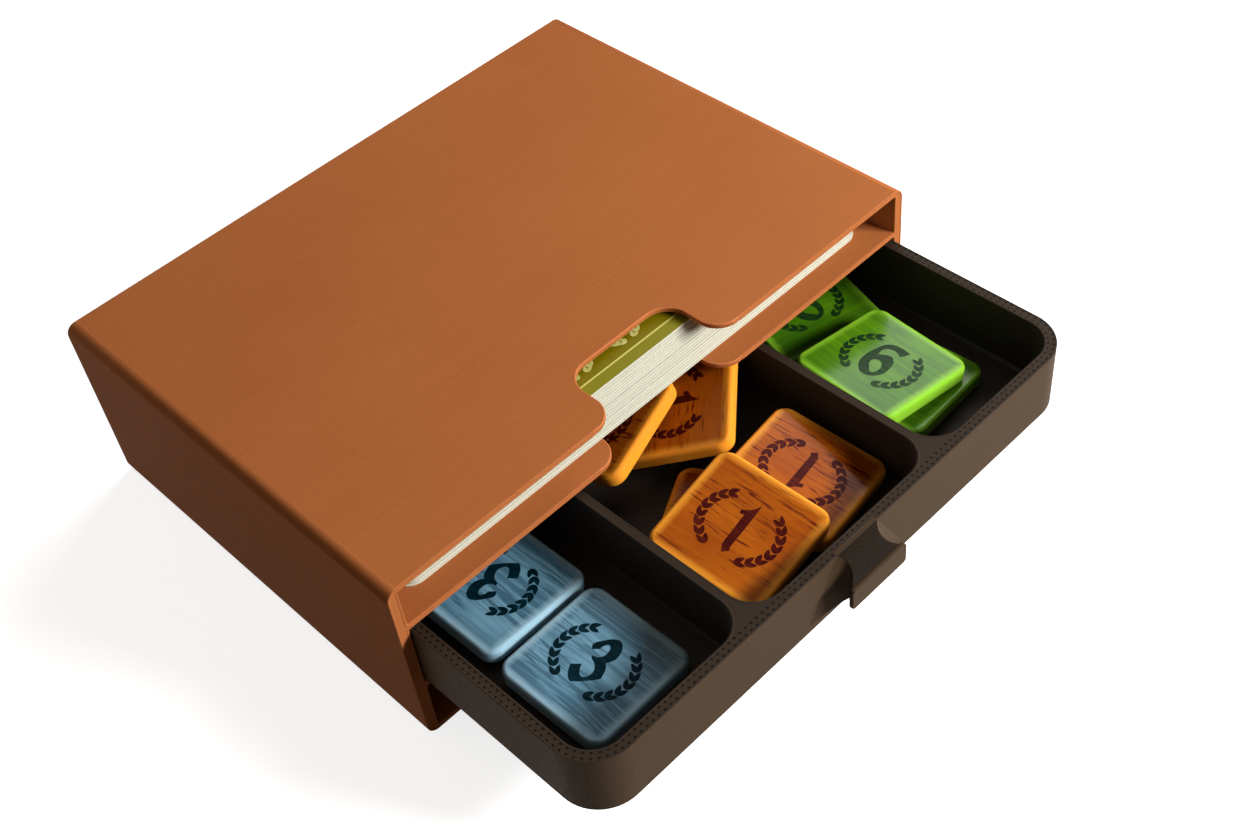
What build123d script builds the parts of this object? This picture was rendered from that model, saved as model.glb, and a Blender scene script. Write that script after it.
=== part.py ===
"""Board game piece organizer: a printed case with a card slot, a drawer of tiles and an open lower bay.

Millimetres. +X is right as seen from the front, +Y points to the back and +Z is up.
The origin is the middle of the case's footprint, on the table.
"""
import os
from dataclasses import dataclass
from math import asin, cos, degrees, radians, sin

from build123d import *

os.makedirs("parts", exist_ok=True)

# Tiles
TILE_SIDE = 21.3
TILE_THICKNESS = 3.0
TILE_CORNER_RADIUS = 2.6
TILE_EDGE_RADIUS = 0.8

# Cards, each lying a little further back than the one below
CARD_WIDTH = 105.0
CARD_LENGTH = 74.0
CARD_THICKNESS = 0.3
CARD_CORNER_RADIUS = 3.5
CARD_COUNT = 24
CARD_AIR = 0.1
CARDS_BELOW_AIR = (7, 13)
CARD_FRONT_INSET = 4.6
CARD_BACK_ROOM = 3.1
CARD_SIDE_ROOM = 3.5
CARD_TOP_ROOM = 0.6
DECK_LEAN = 2.6
DECK_WANDER = 0.12

DECK_HEIGHT = CARD_COUNT * CARD_THICKNESS + len(CARDS_BELOW_AIR) * CARD_AIR

# Drawer, whose pockets are four tiles deep and whose middle one is nearly two tiles wide
DRAWER_SIDE_CLEARANCE = 0.3
DRAWER_TOP_CLEARANCE = 0.5
DRAWER_BACK_CLEARANCE = 0.3
DRAWER_WALL = 2.0
DRAWER_FLOOR = 1.0
DIVIDER = 1.6
DRAWER_CORNER_RADIUS = 7.5
DRAWER_FOOT_CHAMFER = 0.4
DRAWER_PULLED_OUT = 37.9
TILES_DEEP = 4
MIDDLE_TILES_OVERLAP = 1.7

# Case, printed in one piece standing on its back wall
SIDE_WALL = 2.0
BACK_WALL = 2.0
PLATE = 1.0
CASE_EDGE_RADIUS = 2.0
LOWER_BAY_HEIGHT = 10.5

DRAWER_HEIGHT = DRAWER_FLOOR + TILES_DEEP * TILE_THICKNESS
BAY_WIDTH = CARD_WIDTH + 2 * CARD_SIDE_ROOM
BAY_DEPTH = CARD_FRONT_INSET + CARD_LENGTH + DECK_LEAN + CARD_BACK_ROOM
CASE_WIDTH = BAY_WIDTH + 2 * SIDE_WALL
CASE_DEPTH = BAY_DEPTH + BACK_WALL
CASE_FRONT = -CASE_DEPTH / 2
CASE_INNER_BACK = CASE_FRONT + BAY_DEPTH
LOWER_BAY_TOP = PLATE + LOWER_BAY_HEIGHT
DRAWER_SHELF_TOP = LOWER_BAY_TOP + PLATE
DRAWER_BAY_TOP = DRAWER_SHELF_TOP + DRAWER_HEIGHT + DRAWER_TOP_CLEARANCE
CARD_SHELF_TOP = DRAWER_BAY_TOP + PLATE
CARD_SLOT_TOP = CARD_SHELF_TOP + DECK_HEIGHT + CARD_TOP_ROOM
CASE_HEIGHT = CARD_SLOT_TOP + PLATE

# Thumb notch, the same in the top plate and in the card shelf
NOTCH_WIDTH = 23.0
NOTCH_DEPTH = 12.0
NOTCH_RADIUS = 4.5

# Where the drawer and its pockets lie
DRAWER_WIDTH = BAY_WIDTH - 2 * DRAWER_SIDE_CLEARANCE
DRAWER_LENGTH = BAY_DEPTH - DRAWER_BACK_CLEARANCE
DRAWER_FRONT = CASE_FRONT - DRAWER_PULLED_OUT
DRAWER_MIDDLE = DRAWER_FRONT + DRAWER_LENGTH / 2
DRAWER_RIM = DRAWER_SHELF_TOP + DRAWER_HEIGHT
POCKET_FLOOR = DRAWER_SHELF_TOP + DRAWER_FLOOR
POCKET_FRONT = DRAWER_FRONT + DRAWER_WALL
POCKET_LENGTH = DRAWER_LENGTH - 2 * DRAWER_WALL
POCKET_RADIUS = DRAWER_CORNER_RADIUS - DRAWER_WALL
MIDDLE_POCKET_WIDTH = 2 * TILE_SIDE - MIDDLE_TILES_OVERLAP
SIDE_POCKET_WIDTH = (DRAWER_WIDTH - MIDDLE_POCKET_WIDTH) / 2 - DRAWER_WALL - DIVIDER
SIDE_POCKET_X = MIDDLE_POCKET_WIDTH / 2 + DIVIDER + SIDE_POCKET_WIDTH / 2

# Pull tab on the drawer's front: a waisted neck with sloping top and underside, ending in a flat lip
TAB_REACH = 4.5
LIP_WIDTH = 12.7
LIP_HEIGHT = 4.3
LIP_THICKNESS = 0.8
LIP_CORNER_RADIUS = 0.35
LIP_BELOW_NECK = 0.7
NECK_WAIST = 6.8
NECK_WIDTH_AT_LIP = 11.0
NECK_WIDTH_AT_RIM = 9.2
NECK_WIDTH_AT_FOOT = 22.0
NECK_SECTIONS = 8

NECK_REACH = TAB_REACH - LIP_THICKNESS
LIP_TOP = DRAWER_RIM - NECK_REACH
LIP_BOTTOM = LIP_TOP - LIP_HEIGHT
NECK_FOOT = LIP_BOTTOM + LIP_BELOW_NECK - NECK_REACH


@dataclass(frozen=True)
class Pocket:
    """One pocket of the drawer, by the middle of its width."""

    x: float
    width: float


@dataclass(frozen=True)
class TilePlace:
    """Where one tile lies in the drawer, by the middle of its upper face.

    across is -1 against the pocket's left wall and 1 against its right wall. The distance behind the
    front wall is in tile sides and the level in tile thicknesses, so that a pile keeps its form when
    the tiles or pockets change.
    """

    name: str
    pocket: Pocket
    across: float
    behind_wall: float
    level: float
    turn: float
    rise: float = 0.0
    heading: float = 0.0

    @property
    def middle(self) -> Vector:
        """The middle of the upper face."""
        turned_width = TILE_SIDE * (abs(cos(radians(self.turn))) + abs(sin(radians(self.turn))))
        room = (self.pocket.width - turned_width) / 2
        return Vector(
            self.pocket.x + self.across * room,
            POCKET_FRONT + self.behind_wall * TILE_SIDE,
            POCKET_FLOOR + self.level * TILE_THICKNESS,
        )

    @property
    def lean(self) -> float:
        """How far the upper face tips towards the heading, for this rise over one tile side."""
        return degrees(asin(self.rise * TILE_THICKNESS / TILE_SIDE))


LEFT = Pocket(-SIDE_POCKET_X, SIDE_POCKET_WIDTH)
MIDDLE = Pocket(0.0, MIDDLE_POCKET_WIDTH)
RIGHT = Pocket(SIDE_POCKET_X, SIDE_POCKET_WIDTH)

TILE_PLACES = [
    TilePlace("tile_blue_front", LEFT, -0.06, 0.772, 1.217, turn=1.6, rise=0.27, heading=-67.0),
    TilePlace("tile_blue_back", LEFT, -0.02, 1.840, 1.300, turn=1.0, rise=0.37, heading=-17.0),
    TilePlace("tile_amber_floor", MIDDLE, -0.91, 0.930, 1.005, turn=28.0),
    TilePlace("tile_amber_right", MIDDLE, 0.99, 0.749, 2.100, turn=8.8, rise=1.29, heading=-57.2),
    TilePlace("tile_amber_front", MIDDLE, -0.99, 0.653, 3.200, turn=6.5, rise=1.36, heading=-112.6),
    TilePlace("tile_amber_behind", MIDDLE, 0.93, 1.963, 2.567, turn=-50.8, rise=2.25, heading=155.5),
    TilePlace("tile_amber_left", MIDDLE, -0.72, 2.310, 2.533, turn=12.4, rise=2.20, heading=140.0),
    TilePlace("tile_green_floor", RIGHT, -0.20, 0.906, 1.283, turn=4.5, rise=0.47, heading=-4.3),
    TilePlace("tile_green_front", RIGHT, -0.73, 1.005, 2.517, turn=-4.0, rise=0.78, heading=-5.2),
    TilePlace("tile_green_back", RIGHT, 1.0, 2.045, 1.005, turn=-16.5),
]


def box_between(x: tuple[float, float], y: tuple[float, float], z: tuple[float, float]) -> Part:
    """Return the box that fills these three ranges."""
    middle = Pos(sum(x) / 2, sum(y) / 2, sum(z) / 2)
    return middle * Box(x[1] - x[0], y[1] - y[0], z[1] - z[0])


def notch_cutter(low: float, high: float) -> Part:
    """Return the tool that cuts the thumb notch between two heights.

    Its inner corners are rounded, and it flares out where it meets the front edge.
    """
    r = NOTCH_RADIUS
    notch = RectangleRounded(NOTCH_WIDTH, 2 * NOTCH_DEPTH, r)
    mouth = Pos(0, r / 2) * Rectangle(NOTCH_WIDTH + 2 * r, r)
    for side in (-1, 1):
        mouth -= Pos(side * (NOTCH_WIDTH / 2 + r), r) * Circle(r)
    outline = Pos(0, CASE_FRONT) * (notch + mouth)
    return Pos(0, 0, low) * extrude(outline, high - low)


def make_case() -> Part:
    """Return the case: outer sleeve, card shelf, drawer shelf, back wall and notches."""
    outline = Pos(0, CASE_HEIGHT / 2) * RectangleRounded(CASE_WIDTH, CASE_HEIGHT, CASE_EDGE_RADIUS)
    body = extrude(Plane.XZ * outline, CASE_DEPTH / 2, both=True)
    across = (-BAY_WIDTH / 2, BAY_WIDTH / 2)
    along = (CASE_FRONT - PLATE, CASE_INNER_BACK)
    body -= box_between(across, along, (CARD_SHELF_TOP, CARD_SLOT_TOP))
    body -= box_between(across, along, (DRAWER_SHELF_TOP, DRAWER_BAY_TOP))
    body -= box_between(across, along, (PLATE, LOWER_BAY_TOP))
    body -= notch_cutter(CARD_SLOT_TOP - PLATE / 2, CASE_HEIGHT + PLATE)
    body -= notch_cutter(DRAWER_BAY_TOP - PLATE / 2, CARD_SHELF_TOP + PLATE / 2)
    return body


def neck_section(reach: float) -> Face:
    """Return the neck's upright section at this distance in front of the drawer's front wall."""
    far = max(0.0, reach / NECK_REACH)
    near = 1 - far
    to_lip = (NECK_WIDTH_AT_LIP - NECK_WAIST) * far**3
    half_top = (NECK_WAIST + to_lip + (NECK_WIDTH_AT_RIM - NECK_WAIST) * near**4) / 2
    half_foot = (NECK_WAIST + to_lip + (NECK_WIDTH_AT_FOOT - NECK_WAIST) * near**3) / 2
    top = DRAWER_RIM - far * NECK_REACH
    foot = NECK_FOOT + far * NECK_REACH
    corners = [(-half_foot, foot), (half_foot, foot), (half_top, top), (-half_top, top)]
    upright = Plane.XZ.offset(reach - DRAWER_FRONT)
    return upright * make_face(Polyline(corners, close=True))


def make_tab() -> Part:
    """Return the pull tab, rooted halfway into the drawer's front wall."""
    root = neck_section(-DRAWER_WALL / 2)
    steps = [neck_section(NECK_REACH * i / NECK_SECTIONS) for i in range(NECK_SECTIONS + 1)]
    neck = loft([root, *steps], ruled=True)
    lip_front = DRAWER_FRONT - TAB_REACH
    lip = box_between(
        (-LIP_WIDTH / 2, LIP_WIDTH / 2),
        (lip_front, lip_front + LIP_THICKNESS),
        (LIP_BOTTOM, LIP_TOP),
    )
    front = lip.faces().sort_by(Axis.Y)[0]
    return neck + fillet(front.edges(), LIP_CORNER_RADIUS)


def make_drawer() -> Part:
    """Return the drawer with its three pockets and its pull tab, pulled out of the case."""
    outline = RectangleRounded(DRAWER_WIDTH, DRAWER_LENGTH, DRAWER_CORNER_RADIUS)
    tray = extrude(outline, DRAWER_HEIGHT)
    tray = chamfer(tray.faces().sort_by(Axis.Z)[0].edges(), DRAWER_FOOT_CHAMFER)
    tray = Pos(0, DRAWER_MIDDLE, DRAWER_SHELF_TOP) * tray
    for pocket in (LEFT, MIDDLE, RIGHT):
        hollow = extrude(RectangleRounded(pocket.width, POCKET_LENGTH, POCKET_RADIUS), DRAWER_HEIGHT)
        tray -= Pos(pocket.x, DRAWER_MIDDLE, POCKET_FLOOR) * hollow
    return tray + make_tab()


def make_card(number: int) -> Part:
    """Return one card of the deck, counted from 1 at the bottom."""
    below = number - 1
    air = CARD_AIR * sum(below >= count for count in CARDS_BELOW_AIR)
    height = CARD_SHELF_TOP + below * CARD_THICKNESS + air
    back = DECK_LEAN * below / (CARD_COUNT - 1) + DECK_WANDER * sin(2.1 * below)
    aside = DECK_WANDER * sin(1.3 * below)
    card = extrude(RectangleRounded(CARD_WIDTH, CARD_LENGTH, CARD_CORNER_RADIUS), CARD_THICKNESS)
    front = CASE_FRONT + CARD_FRONT_INSET
    return Pos(aside, front + back + CARD_LENGTH / 2, height) * card


def make_tile(place: TilePlace) -> Part:
    """Return one tile at its place in the drawer."""
    body = extrude(RectangleRounded(TILE_SIDE, TILE_SIDE, TILE_CORNER_RADIUS), -TILE_THICKNESS)
    flat_faces = body.faces().sort_by(Axis.Z)
    body = fillet(flat_faces[0].edges() + flat_faces[-1].edges(), TILE_EDGE_RADIUS)
    across_heading = radians(place.heading)
    tip = Axis((0, 0, 0), (-sin(across_heading), cos(across_heading), 0))
    body = body.rotate(Axis.Z, place.turn).rotate(tip, place.lean)
    return Pos(place.middle) * body


def save(name: str, shape: Part) -> None:
    """Write one node's STEP file and print its extent and volume."""
    solids = shape.solids()
    export_step(solids[0] if len(solids) == 1 else Compound(solids), f"parts/{name}.step")
    box = shape.bounding_box()
    low = ", ".join(f"{v:.2f}" for v in box.min)
    high = ", ".join(f"{v:.2f}" for v in box.max)
    print(f"{name}: {len(solids)} solid, {low} to {high}, {shape.volume:.0f} mm3")


save("case", make_case())
save("drawer", make_drawer())
for card_number in range(1, CARD_COUNT + 1):
    save(f"card_{card_number:02d}", make_card(card_number))
for tile_place in TILE_PLACES:
    save(tile_place.name, make_tile(tile_place))
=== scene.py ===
"""Board game piece organizer: the printed case, its drawer, the card deck and the tiles, ready to render.

Lengths are in metres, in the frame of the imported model. Names that end in mm hold millimetres.
"""
from __future__ import annotations

import logging
import math
from collections.abc import Callable, Iterable, Sequence
from dataclasses import dataclass
from enum import Enum

import bmesh
import bpy
from mathutils import Matrix, Vector

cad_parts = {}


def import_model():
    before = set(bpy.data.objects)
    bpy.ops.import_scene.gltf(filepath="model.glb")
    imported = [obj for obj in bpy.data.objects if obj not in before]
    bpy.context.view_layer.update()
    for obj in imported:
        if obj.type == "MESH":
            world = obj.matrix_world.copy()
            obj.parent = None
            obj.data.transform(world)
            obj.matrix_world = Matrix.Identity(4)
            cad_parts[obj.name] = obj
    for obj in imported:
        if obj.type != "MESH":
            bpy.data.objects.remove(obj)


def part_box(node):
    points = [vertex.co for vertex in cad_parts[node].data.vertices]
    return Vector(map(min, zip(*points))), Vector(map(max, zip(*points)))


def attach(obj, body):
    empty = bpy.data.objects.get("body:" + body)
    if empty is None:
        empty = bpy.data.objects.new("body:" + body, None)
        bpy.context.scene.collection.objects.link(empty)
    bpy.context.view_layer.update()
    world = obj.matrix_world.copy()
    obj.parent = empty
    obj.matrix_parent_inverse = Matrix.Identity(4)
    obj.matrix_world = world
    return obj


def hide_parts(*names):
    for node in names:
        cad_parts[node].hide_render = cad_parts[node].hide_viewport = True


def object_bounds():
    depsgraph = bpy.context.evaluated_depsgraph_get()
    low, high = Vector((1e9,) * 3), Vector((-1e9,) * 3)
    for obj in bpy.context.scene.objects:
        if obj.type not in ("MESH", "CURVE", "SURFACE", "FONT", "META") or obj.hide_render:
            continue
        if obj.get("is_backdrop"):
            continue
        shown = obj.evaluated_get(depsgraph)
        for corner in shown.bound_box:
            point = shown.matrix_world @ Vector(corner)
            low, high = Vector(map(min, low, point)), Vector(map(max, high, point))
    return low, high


LOG = logging.getLogger("organizer")
MM = 0.001

# The part of a noise's range in which most of its values lie.
NOISE_LOW = 0.36
NOISE_HIGH = 0.64

# The attributes that hold each point's place in its tile in millimetres, and the tile's own seed.
PLACE_ATTRIBUTE = "tile_place"
SEED_ATTRIBUTE = "tile_seed"
SEED_STEP = (7.3, 31.7, 3.1)

WHITE = (1.0, 1.0, 1.0, 1.0)

Point = tuple[float, float]
Colour = tuple[float, float, float, float]

# A path's points, and whether it closes on itself.
Course = tuple[Sequence[Vector], bool]


class Slot(Enum):
    """The record's material slots."""

    CASE = "case_plastic"
    DRAWER = "drawer_plastic"
    CARD_STOCK = "card_stock"
    CARD_FACE = "card_face"
    TILE_BLUE = "tile_blue"
    TILE_AMBER = "tile_amber"
    TILE_GREEN = "tile_green"


class Axis(Enum):
    """The direction in which a print's layers are stacked, as an index of X, Y and Z."""

    ALONG_Y = 1
    ALONG_Z = 2


class Socket(Enum):
    """The kinds of named input that a shape tree takes."""

    NUMBER = "NodeSocketFloat"
    COUNT = "NodeSocketInt"
    VECTOR = "NodeSocketVector"
    MATERIAL = "NodeSocketMaterial"


def srgb(red: int, green: int, blue: int) -> Colour:
    """Return a linear colour with full alpha from 8-bit display values.

    Args:
        red: red, 0 to 255.
        green: green, 0 to 255.
        blue: blue, 0 to 255.

    Returns:
        The linear red, green, blue and alpha.
    """

    def linear(value: int) -> float:
        """Return one channel's linear value."""
        share = value / 255
        return share / 12.92 if share <= 0.04045 else ((share + 0.055) / 1.055) ** 2.4

    return (linear(red), linear(green), linear(blue), 1.0)


@dataclass(frozen=True)
class Box:
    """An upright box in the frame, by two opposite corners in metres."""

    low: Vector
    high: Vector

    @classmethod
    def of_node(cls, name: str) -> Box:
        """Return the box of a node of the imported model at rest."""
        low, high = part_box(name)
        return cls(Vector(low), Vector(high))

    @property
    def size(self) -> Vector:
        """The box's extent along each axis."""
        return self.high - self.low

    @property
    def middle(self) -> Vector:
        """The box's middle."""
        return (self.low + self.high) / 2


class NodeGraph:
    """A node tree that is built by short calls."""

    def __init__(self, tree: bpy.types.NodeTree) -> None:
        """Take over a tree, to which every call adds."""
        self.tree = tree

    def node(
        self, kind: str, inputs: dict[str | int, object] | None = None, **settings: object
    ) -> bpy.types.Node:
        """Add a node.

        Args:
            kind: the node's type.
            inputs: socket names or numbers, with a value or a socket to link from.
            settings: properties of the node itself.

        Returns:
            The new node.
        """
        made = self.tree.nodes.new(kind)
        for key, value in settings.items():
            setattr(made, key, value)
        for key, value in (inputs or {}).items():
            self.feed(made.inputs[key], value)
        return made

    def feed(self, socket: bpy.types.NodeSocket, value: object) -> None:
        """Link a socket to another one, or set its value.

        Args:
            socket: the socket that is fed.
            value: the socket to link from, or a plain value.
        """
        if isinstance(value, bpy.types.NodeSocket):
            self.tree.links.new(value, socket)
        else:
            socket.default_value = value

    def math(
        self, operation: str, first: object, second: object = 0.0, third: object = 0.0
    ) -> bpy.types.NodeSocket:
        """Return the result of a Math node.

        Args:
            operation: the node's operation, such as MULTIPLY.
            first: the first value or socket.
            second: the second value or socket.
            third: the third value or socket.

        Returns:
            The node's output socket.
        """
        return self.node("ShaderNodeMath", {0: first, 1: second, 2: third}, operation=operation).outputs[0]

    def remap(
        self, value: object, low: float, high: float, to_low: float = 0.0, to_high: float = 1.0
    ) -> bpy.types.NodeSocket:
        """Return a value moved from one range to another and held inside it.

        Args:
            value: the value or socket.
            low: the value that becomes to_low.
            high: the value that becomes to_high.
            to_low: the new range's first end.
            to_high: the new range's other end.

        Returns:
            The moved value's socket.
        """
        inputs = {"Value": value, "From Min": low, "From Max": high, "To Min": to_low, "To Max": to_high}
        return self.node("ShaderNodeMapRange", inputs).outputs[0]

    def mix(self, share: object, first: object, second: object) -> bpy.types.NodeSocket:
        """Return a mix of two colours.

        Args:
            share: how much of the second colour shows.
            first: the first colour or socket.
            second: the second colour or socket.

        Returns:
            The mixed colour's socket.
        """
        return self.node("ShaderNodeMix", {0: share, 6: first, 7: second}, data_type="RGBA").outputs[2]

    def seen(self) -> bpy.types.NodeSocket:
        """Tell what is looked at from what only throws light.

        Returns:
            A socket that is 1 for the camera, reflections and clear surfaces, and 0 for bounced light.
        """
        path = self.node("ShaderNodeLightPath").outputs
        direct = self.math("MAXIMUM", path["Is Camera Ray"], path["Is Glossy Ray"])
        return self.math("MAXIMUM", direct, path["Is Transmission Ray"])


class MaterialGraph(NodeGraph):
    """The nodes of a material round one Principled shader."""

    def __init__(self, name: str) -> None:
        """Start an empty material.

        Args:
            name: the material's name.
        """
        self.material = bpy.data.materials.new(name)
        self.material.use_nodes = True
        super().__init__(self.material.node_tree)
        self.tree.nodes.clear()
        self.shader = self.node("ShaderNodeBsdfPrincipled")
        self.node("ShaderNodeOutputMaterial", {"Surface": self.shader.outputs[0]})

    def surface(self, inputs: dict[str, object]) -> bpy.types.Material:
        """Feed the shader.

        Args:
            inputs: the shader's socket names, with a value or a socket to link from.

        Returns:
            The finished material.
        """
        for name, value in inputs.items():
            self.feed(self.shader.inputs[name], value)
        return self.material

    def object_coordinates(self) -> bpy.types.NodeSocket:
        """Return the object coordinates, which are the frame's own because every piece sits at the origin."""
        return self.node("ShaderNodeTexCoord").outputs["Object"]

    def tile_places(self) -> tuple[bpy.types.NodeSocket, bpy.types.NodeSocket]:
        """Read a tile's own attributes.

        Returns:
            The place in the tile in millimetres, and the same moved by the tile's own seed.
        """
        place = self.node("ShaderNodeAttribute", attribute_name=PLACE_ATTRIBUTE).outputs["Vector"]
        seed = self.node("ShaderNodeAttribute", attribute_name=SEED_ATTRIBUTE).outputs["Vector"]
        return place, self.sum_of(place, seed)

    def sum_of(self, first: bpy.types.NodeSocket, second: bpy.types.NodeSocket) -> bpy.types.NodeSocket:
        """Return the sum of two vectors."""
        return self.node("ShaderNodeVectorMath", {0: first, 1: second}, operation="ADD").outputs[0]

    def split(self, vector: bpy.types.NodeSocket) -> Sequence[bpy.types.NodeSocket]:
        """Return a vector's three parts."""
        return self.node("ShaderNodeSeparateXYZ", {"Vector": vector}).outputs

    def noise(
        self,
        place: bpy.types.NodeSocket,
        scale: float | Sequence[float],
        detail: float = 2.0,
        roughness: float = 0.5,
    ) -> bpy.types.NodeSocket:
        """Return a noise value.

        Args:
            place: where the noise is read.
            scale: how many features lie in one unit, all round or along each axis.
            detail: how many finer layers are added.
            roughness: how strong those layers are.

        Returns:
            The noise, from 0 to 1.
        """
        if not isinstance(scale, float):
            place = self.node("ShaderNodeMapping", {"Vector": place, "Scale": tuple(scale)}).outputs[0]
            scale = 1.0
        inputs = {"Vector": place, "Scale": scale, "Detail": detail, "Roughness": roughness}
        return self.node("ShaderNodeTexNoise", inputs).outputs["Fac"]

    def bump(
        self, height: bpy.types.NodeSocket, depth: float, strength: float = 1.0, under: object = None
    ) -> bpy.types.NodeSocket:
        """Return a bumped normal.

        Args:
            height: the height, from 0 to 1.
            depth: the height's real size in metres.
            strength: how strongly it shows.
            under: the normal to start from.

        Returns:
            The normal's socket.
        """
        made = self.node("ShaderNodeBump", {"Height": height, "Distance": depth, "Strength": strength})
        if under is not None:
            self.feed(made.inputs["Normal"], under)
        return made.outputs[0]


@dataclass(frozen=True)
class PrintedPlastic:
    """Matt plastic laid down in fine layers, with a faint ripple across them and a soft change of tone.

    The tone follows the layers, broad clouds and the ripple, by the three tone shares.
    """

    name: str
    colour: Colour
    deep: Colour
    stacked: Axis
    layer_mm: float = 0.2
    layer_depth_mm: float = 0.012
    ripple_mm: float = 0.006
    roughness: float = 0.6
    specular: float = 0.15
    tone_shares: tuple[float, float, float] = (0.3, 0.45, 0.25)
    streaks_per_layer: float = 0.55
    streaks_per_metre: float = 13.75
    clouds_per_metre: float = 30.0
    ripples_per_metre: float = 2600.0
    ripples_across_layers: float = 900.0
    ripple_strength: float = 0.6
    layer_strength: float = 0.8
    ripple_range: tuple[float, float] = (0.3, 0.7)
    roughness_spread: tuple[float, float] = (-0.05, 0.06)
    uneven_shares: tuple[float, float] = (0.5, 0.55)

    def stretch(self, in_layer: float, across: float) -> list[float]:
        """Return a noise scale with one value in a layer and another across the layers."""
        return [across if axis == self.stacked.value else in_layer for axis in range(3)]

    def build(self) -> bpy.types.Material:
        """Build the material.

        Returns:
            The material.
        """
        graph = MaterialGraph(self.name)
        place = graph.object_coordinates()
        layer = self.layer_mm * MM
        streak_scale = self.stretch(self.streaks_per_metre, self.streaks_per_layer / layer)
        streak = graph.noise(place, streak_scale, detail=1.0)
        ripple_scale = self.stretch(self.ripples_per_metre, self.ripples_across_layers)
        ripple = graph.noise(place, ripple_scale, detail=1.0)
        cloud = graph.noise(place, self.clouds_per_metre)
        turn = graph.math("MULTIPLY", graph.split(place)[self.stacked.value], 2 * math.pi / layer)
        ridge = graph.math("MULTIPLY_ADD", graph.math("SINE", turn), 0.5, 0.5)

        by_streak, by_cloud, by_ripple = self.tone_shares
        tone = graph.math("MULTIPLY_ADD", streak, by_streak, graph.math("MULTIPLY", cloud, by_cloud))
        tone = graph.math("MULTIPLY_ADD", ripple, by_ripple, tone)
        by_streak, by_ridge = self.uneven_shares
        uneven = graph.math("MULTIPLY_ADD", streak, by_streak, graph.math("MULTIPLY", ridge, by_ridge))
        fine = graph.bump(ripple, self.ripple_mm * MM, self.ripple_strength)
        smoothest, roughest = (self.roughness + change for change in self.roughness_spread)
        return graph.surface({
            "Base Color": graph.mix(graph.remap(tone, NOISE_LOW, NOISE_HIGH), self.deep, self.colour),
            "Roughness": graph.remap(ripple, *self.ripple_range, smoothest, roughest),
            "Specular IOR Level": self.specular,
            "Normal": graph.bump(uneven, self.layer_depth_mm * MM, self.layer_strength, fine),
        })


@dataclass(frozen=True)
class WoodGrain:
    """A printed wood grain along a tile's own Y: long thin lines, short flecks and broad bands.

    A scale counts features per millimetre across the grain, along it and into the tile.
    """

    lines_across: float
    line_width: float
    line_strength: float
    fleck_strength: float
    band_strength: float
    flecks_per_line: float = 3.2
    bands_per_line: float = 0.7
    line_run: float = 0.045
    fleck_run: float = 0.3
    band_run: float = 0.04
    into_tile: float = 0.4
    break_scale: tuple[float, float, float] = (1.1, 0.16, 0.4)
    cluster_scale: tuple[float, float, float] = (0.24, 0.05, 0.3)
    wander_scale: tuple[float, float, float] = (0.22, 0.07, 0.3)
    wander_mm: float = 1.6
    line_core: float = 0.4
    line_roughness: float = 0.55
    break_range: tuple[float, float] = (0.38, 0.5)
    cluster_range: tuple[float, float] = (0.32, 0.46)
    fleck_range: tuple[float, float] = (0.56, 0.64)
    band_range: tuple[float, float] = (0.45, 0.66)

    def strength(self, graph: MaterialGraph, seeded: bpy.types.NodeSocket) -> bpy.types.NodeSocket:
        """Return how strongly the grain shows.

        Args:
            graph: the material's graph.
            seeded: the place in the tile in millimetres, moved by the tile's own seed.

        Returns:
            The strength, from 0 to 1.
        """
        sway = graph.math("MULTIPLY", graph.noise(seeded, self.wander_scale), self.wander_mm)
        warped = graph.sum_of(seeded, graph.node("ShaderNodeCombineXYZ", {"X": sway}).outputs[0])
        unbroken = graph.remap(graph.noise(seeded, self.break_scale), *self.break_range)
        here = graph.remap(graph.noise(seeded, self.cluster_scale, detail=1.0), *self.cluster_range)

        line_scale = (self.lines_across, self.line_run, self.into_tile)
        level = graph.noise(warped, line_scale, roughness=self.line_roughness)
        off_line = graph.math("ABSOLUTE", graph.math("SUBTRACT", level, 0.5))
        line = graph.remap(off_line, self.line_width, self.line_core * self.line_width)
        line = graph.math("MULTIPLY", line, graph.math("MULTIPLY", unbroken, here))

        fleck_scale = (self.flecks_per_line * self.lines_across, self.fleck_run, self.into_tile)
        fleck = graph.remap(graph.noise(warped, fleck_scale), *self.fleck_range)
        fleck = graph.math("MULTIPLY", fleck, here)

        band_scale = (self.bands_per_line * self.lines_across, self.band_run, self.into_tile)
        band = graph.remap(graph.noise(warped, band_scale), *self.band_range)

        lines = graph.math("MULTIPLY", line, self.line_strength)
        flecks = graph.math("MULTIPLY", fleck, self.fleck_strength)
        bands = graph.math("MULTIPLY", band, self.band_strength)
        return graph.math("MAXIMUM", graph.math("MAXIMUM", lines, flecks), bands)


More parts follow.
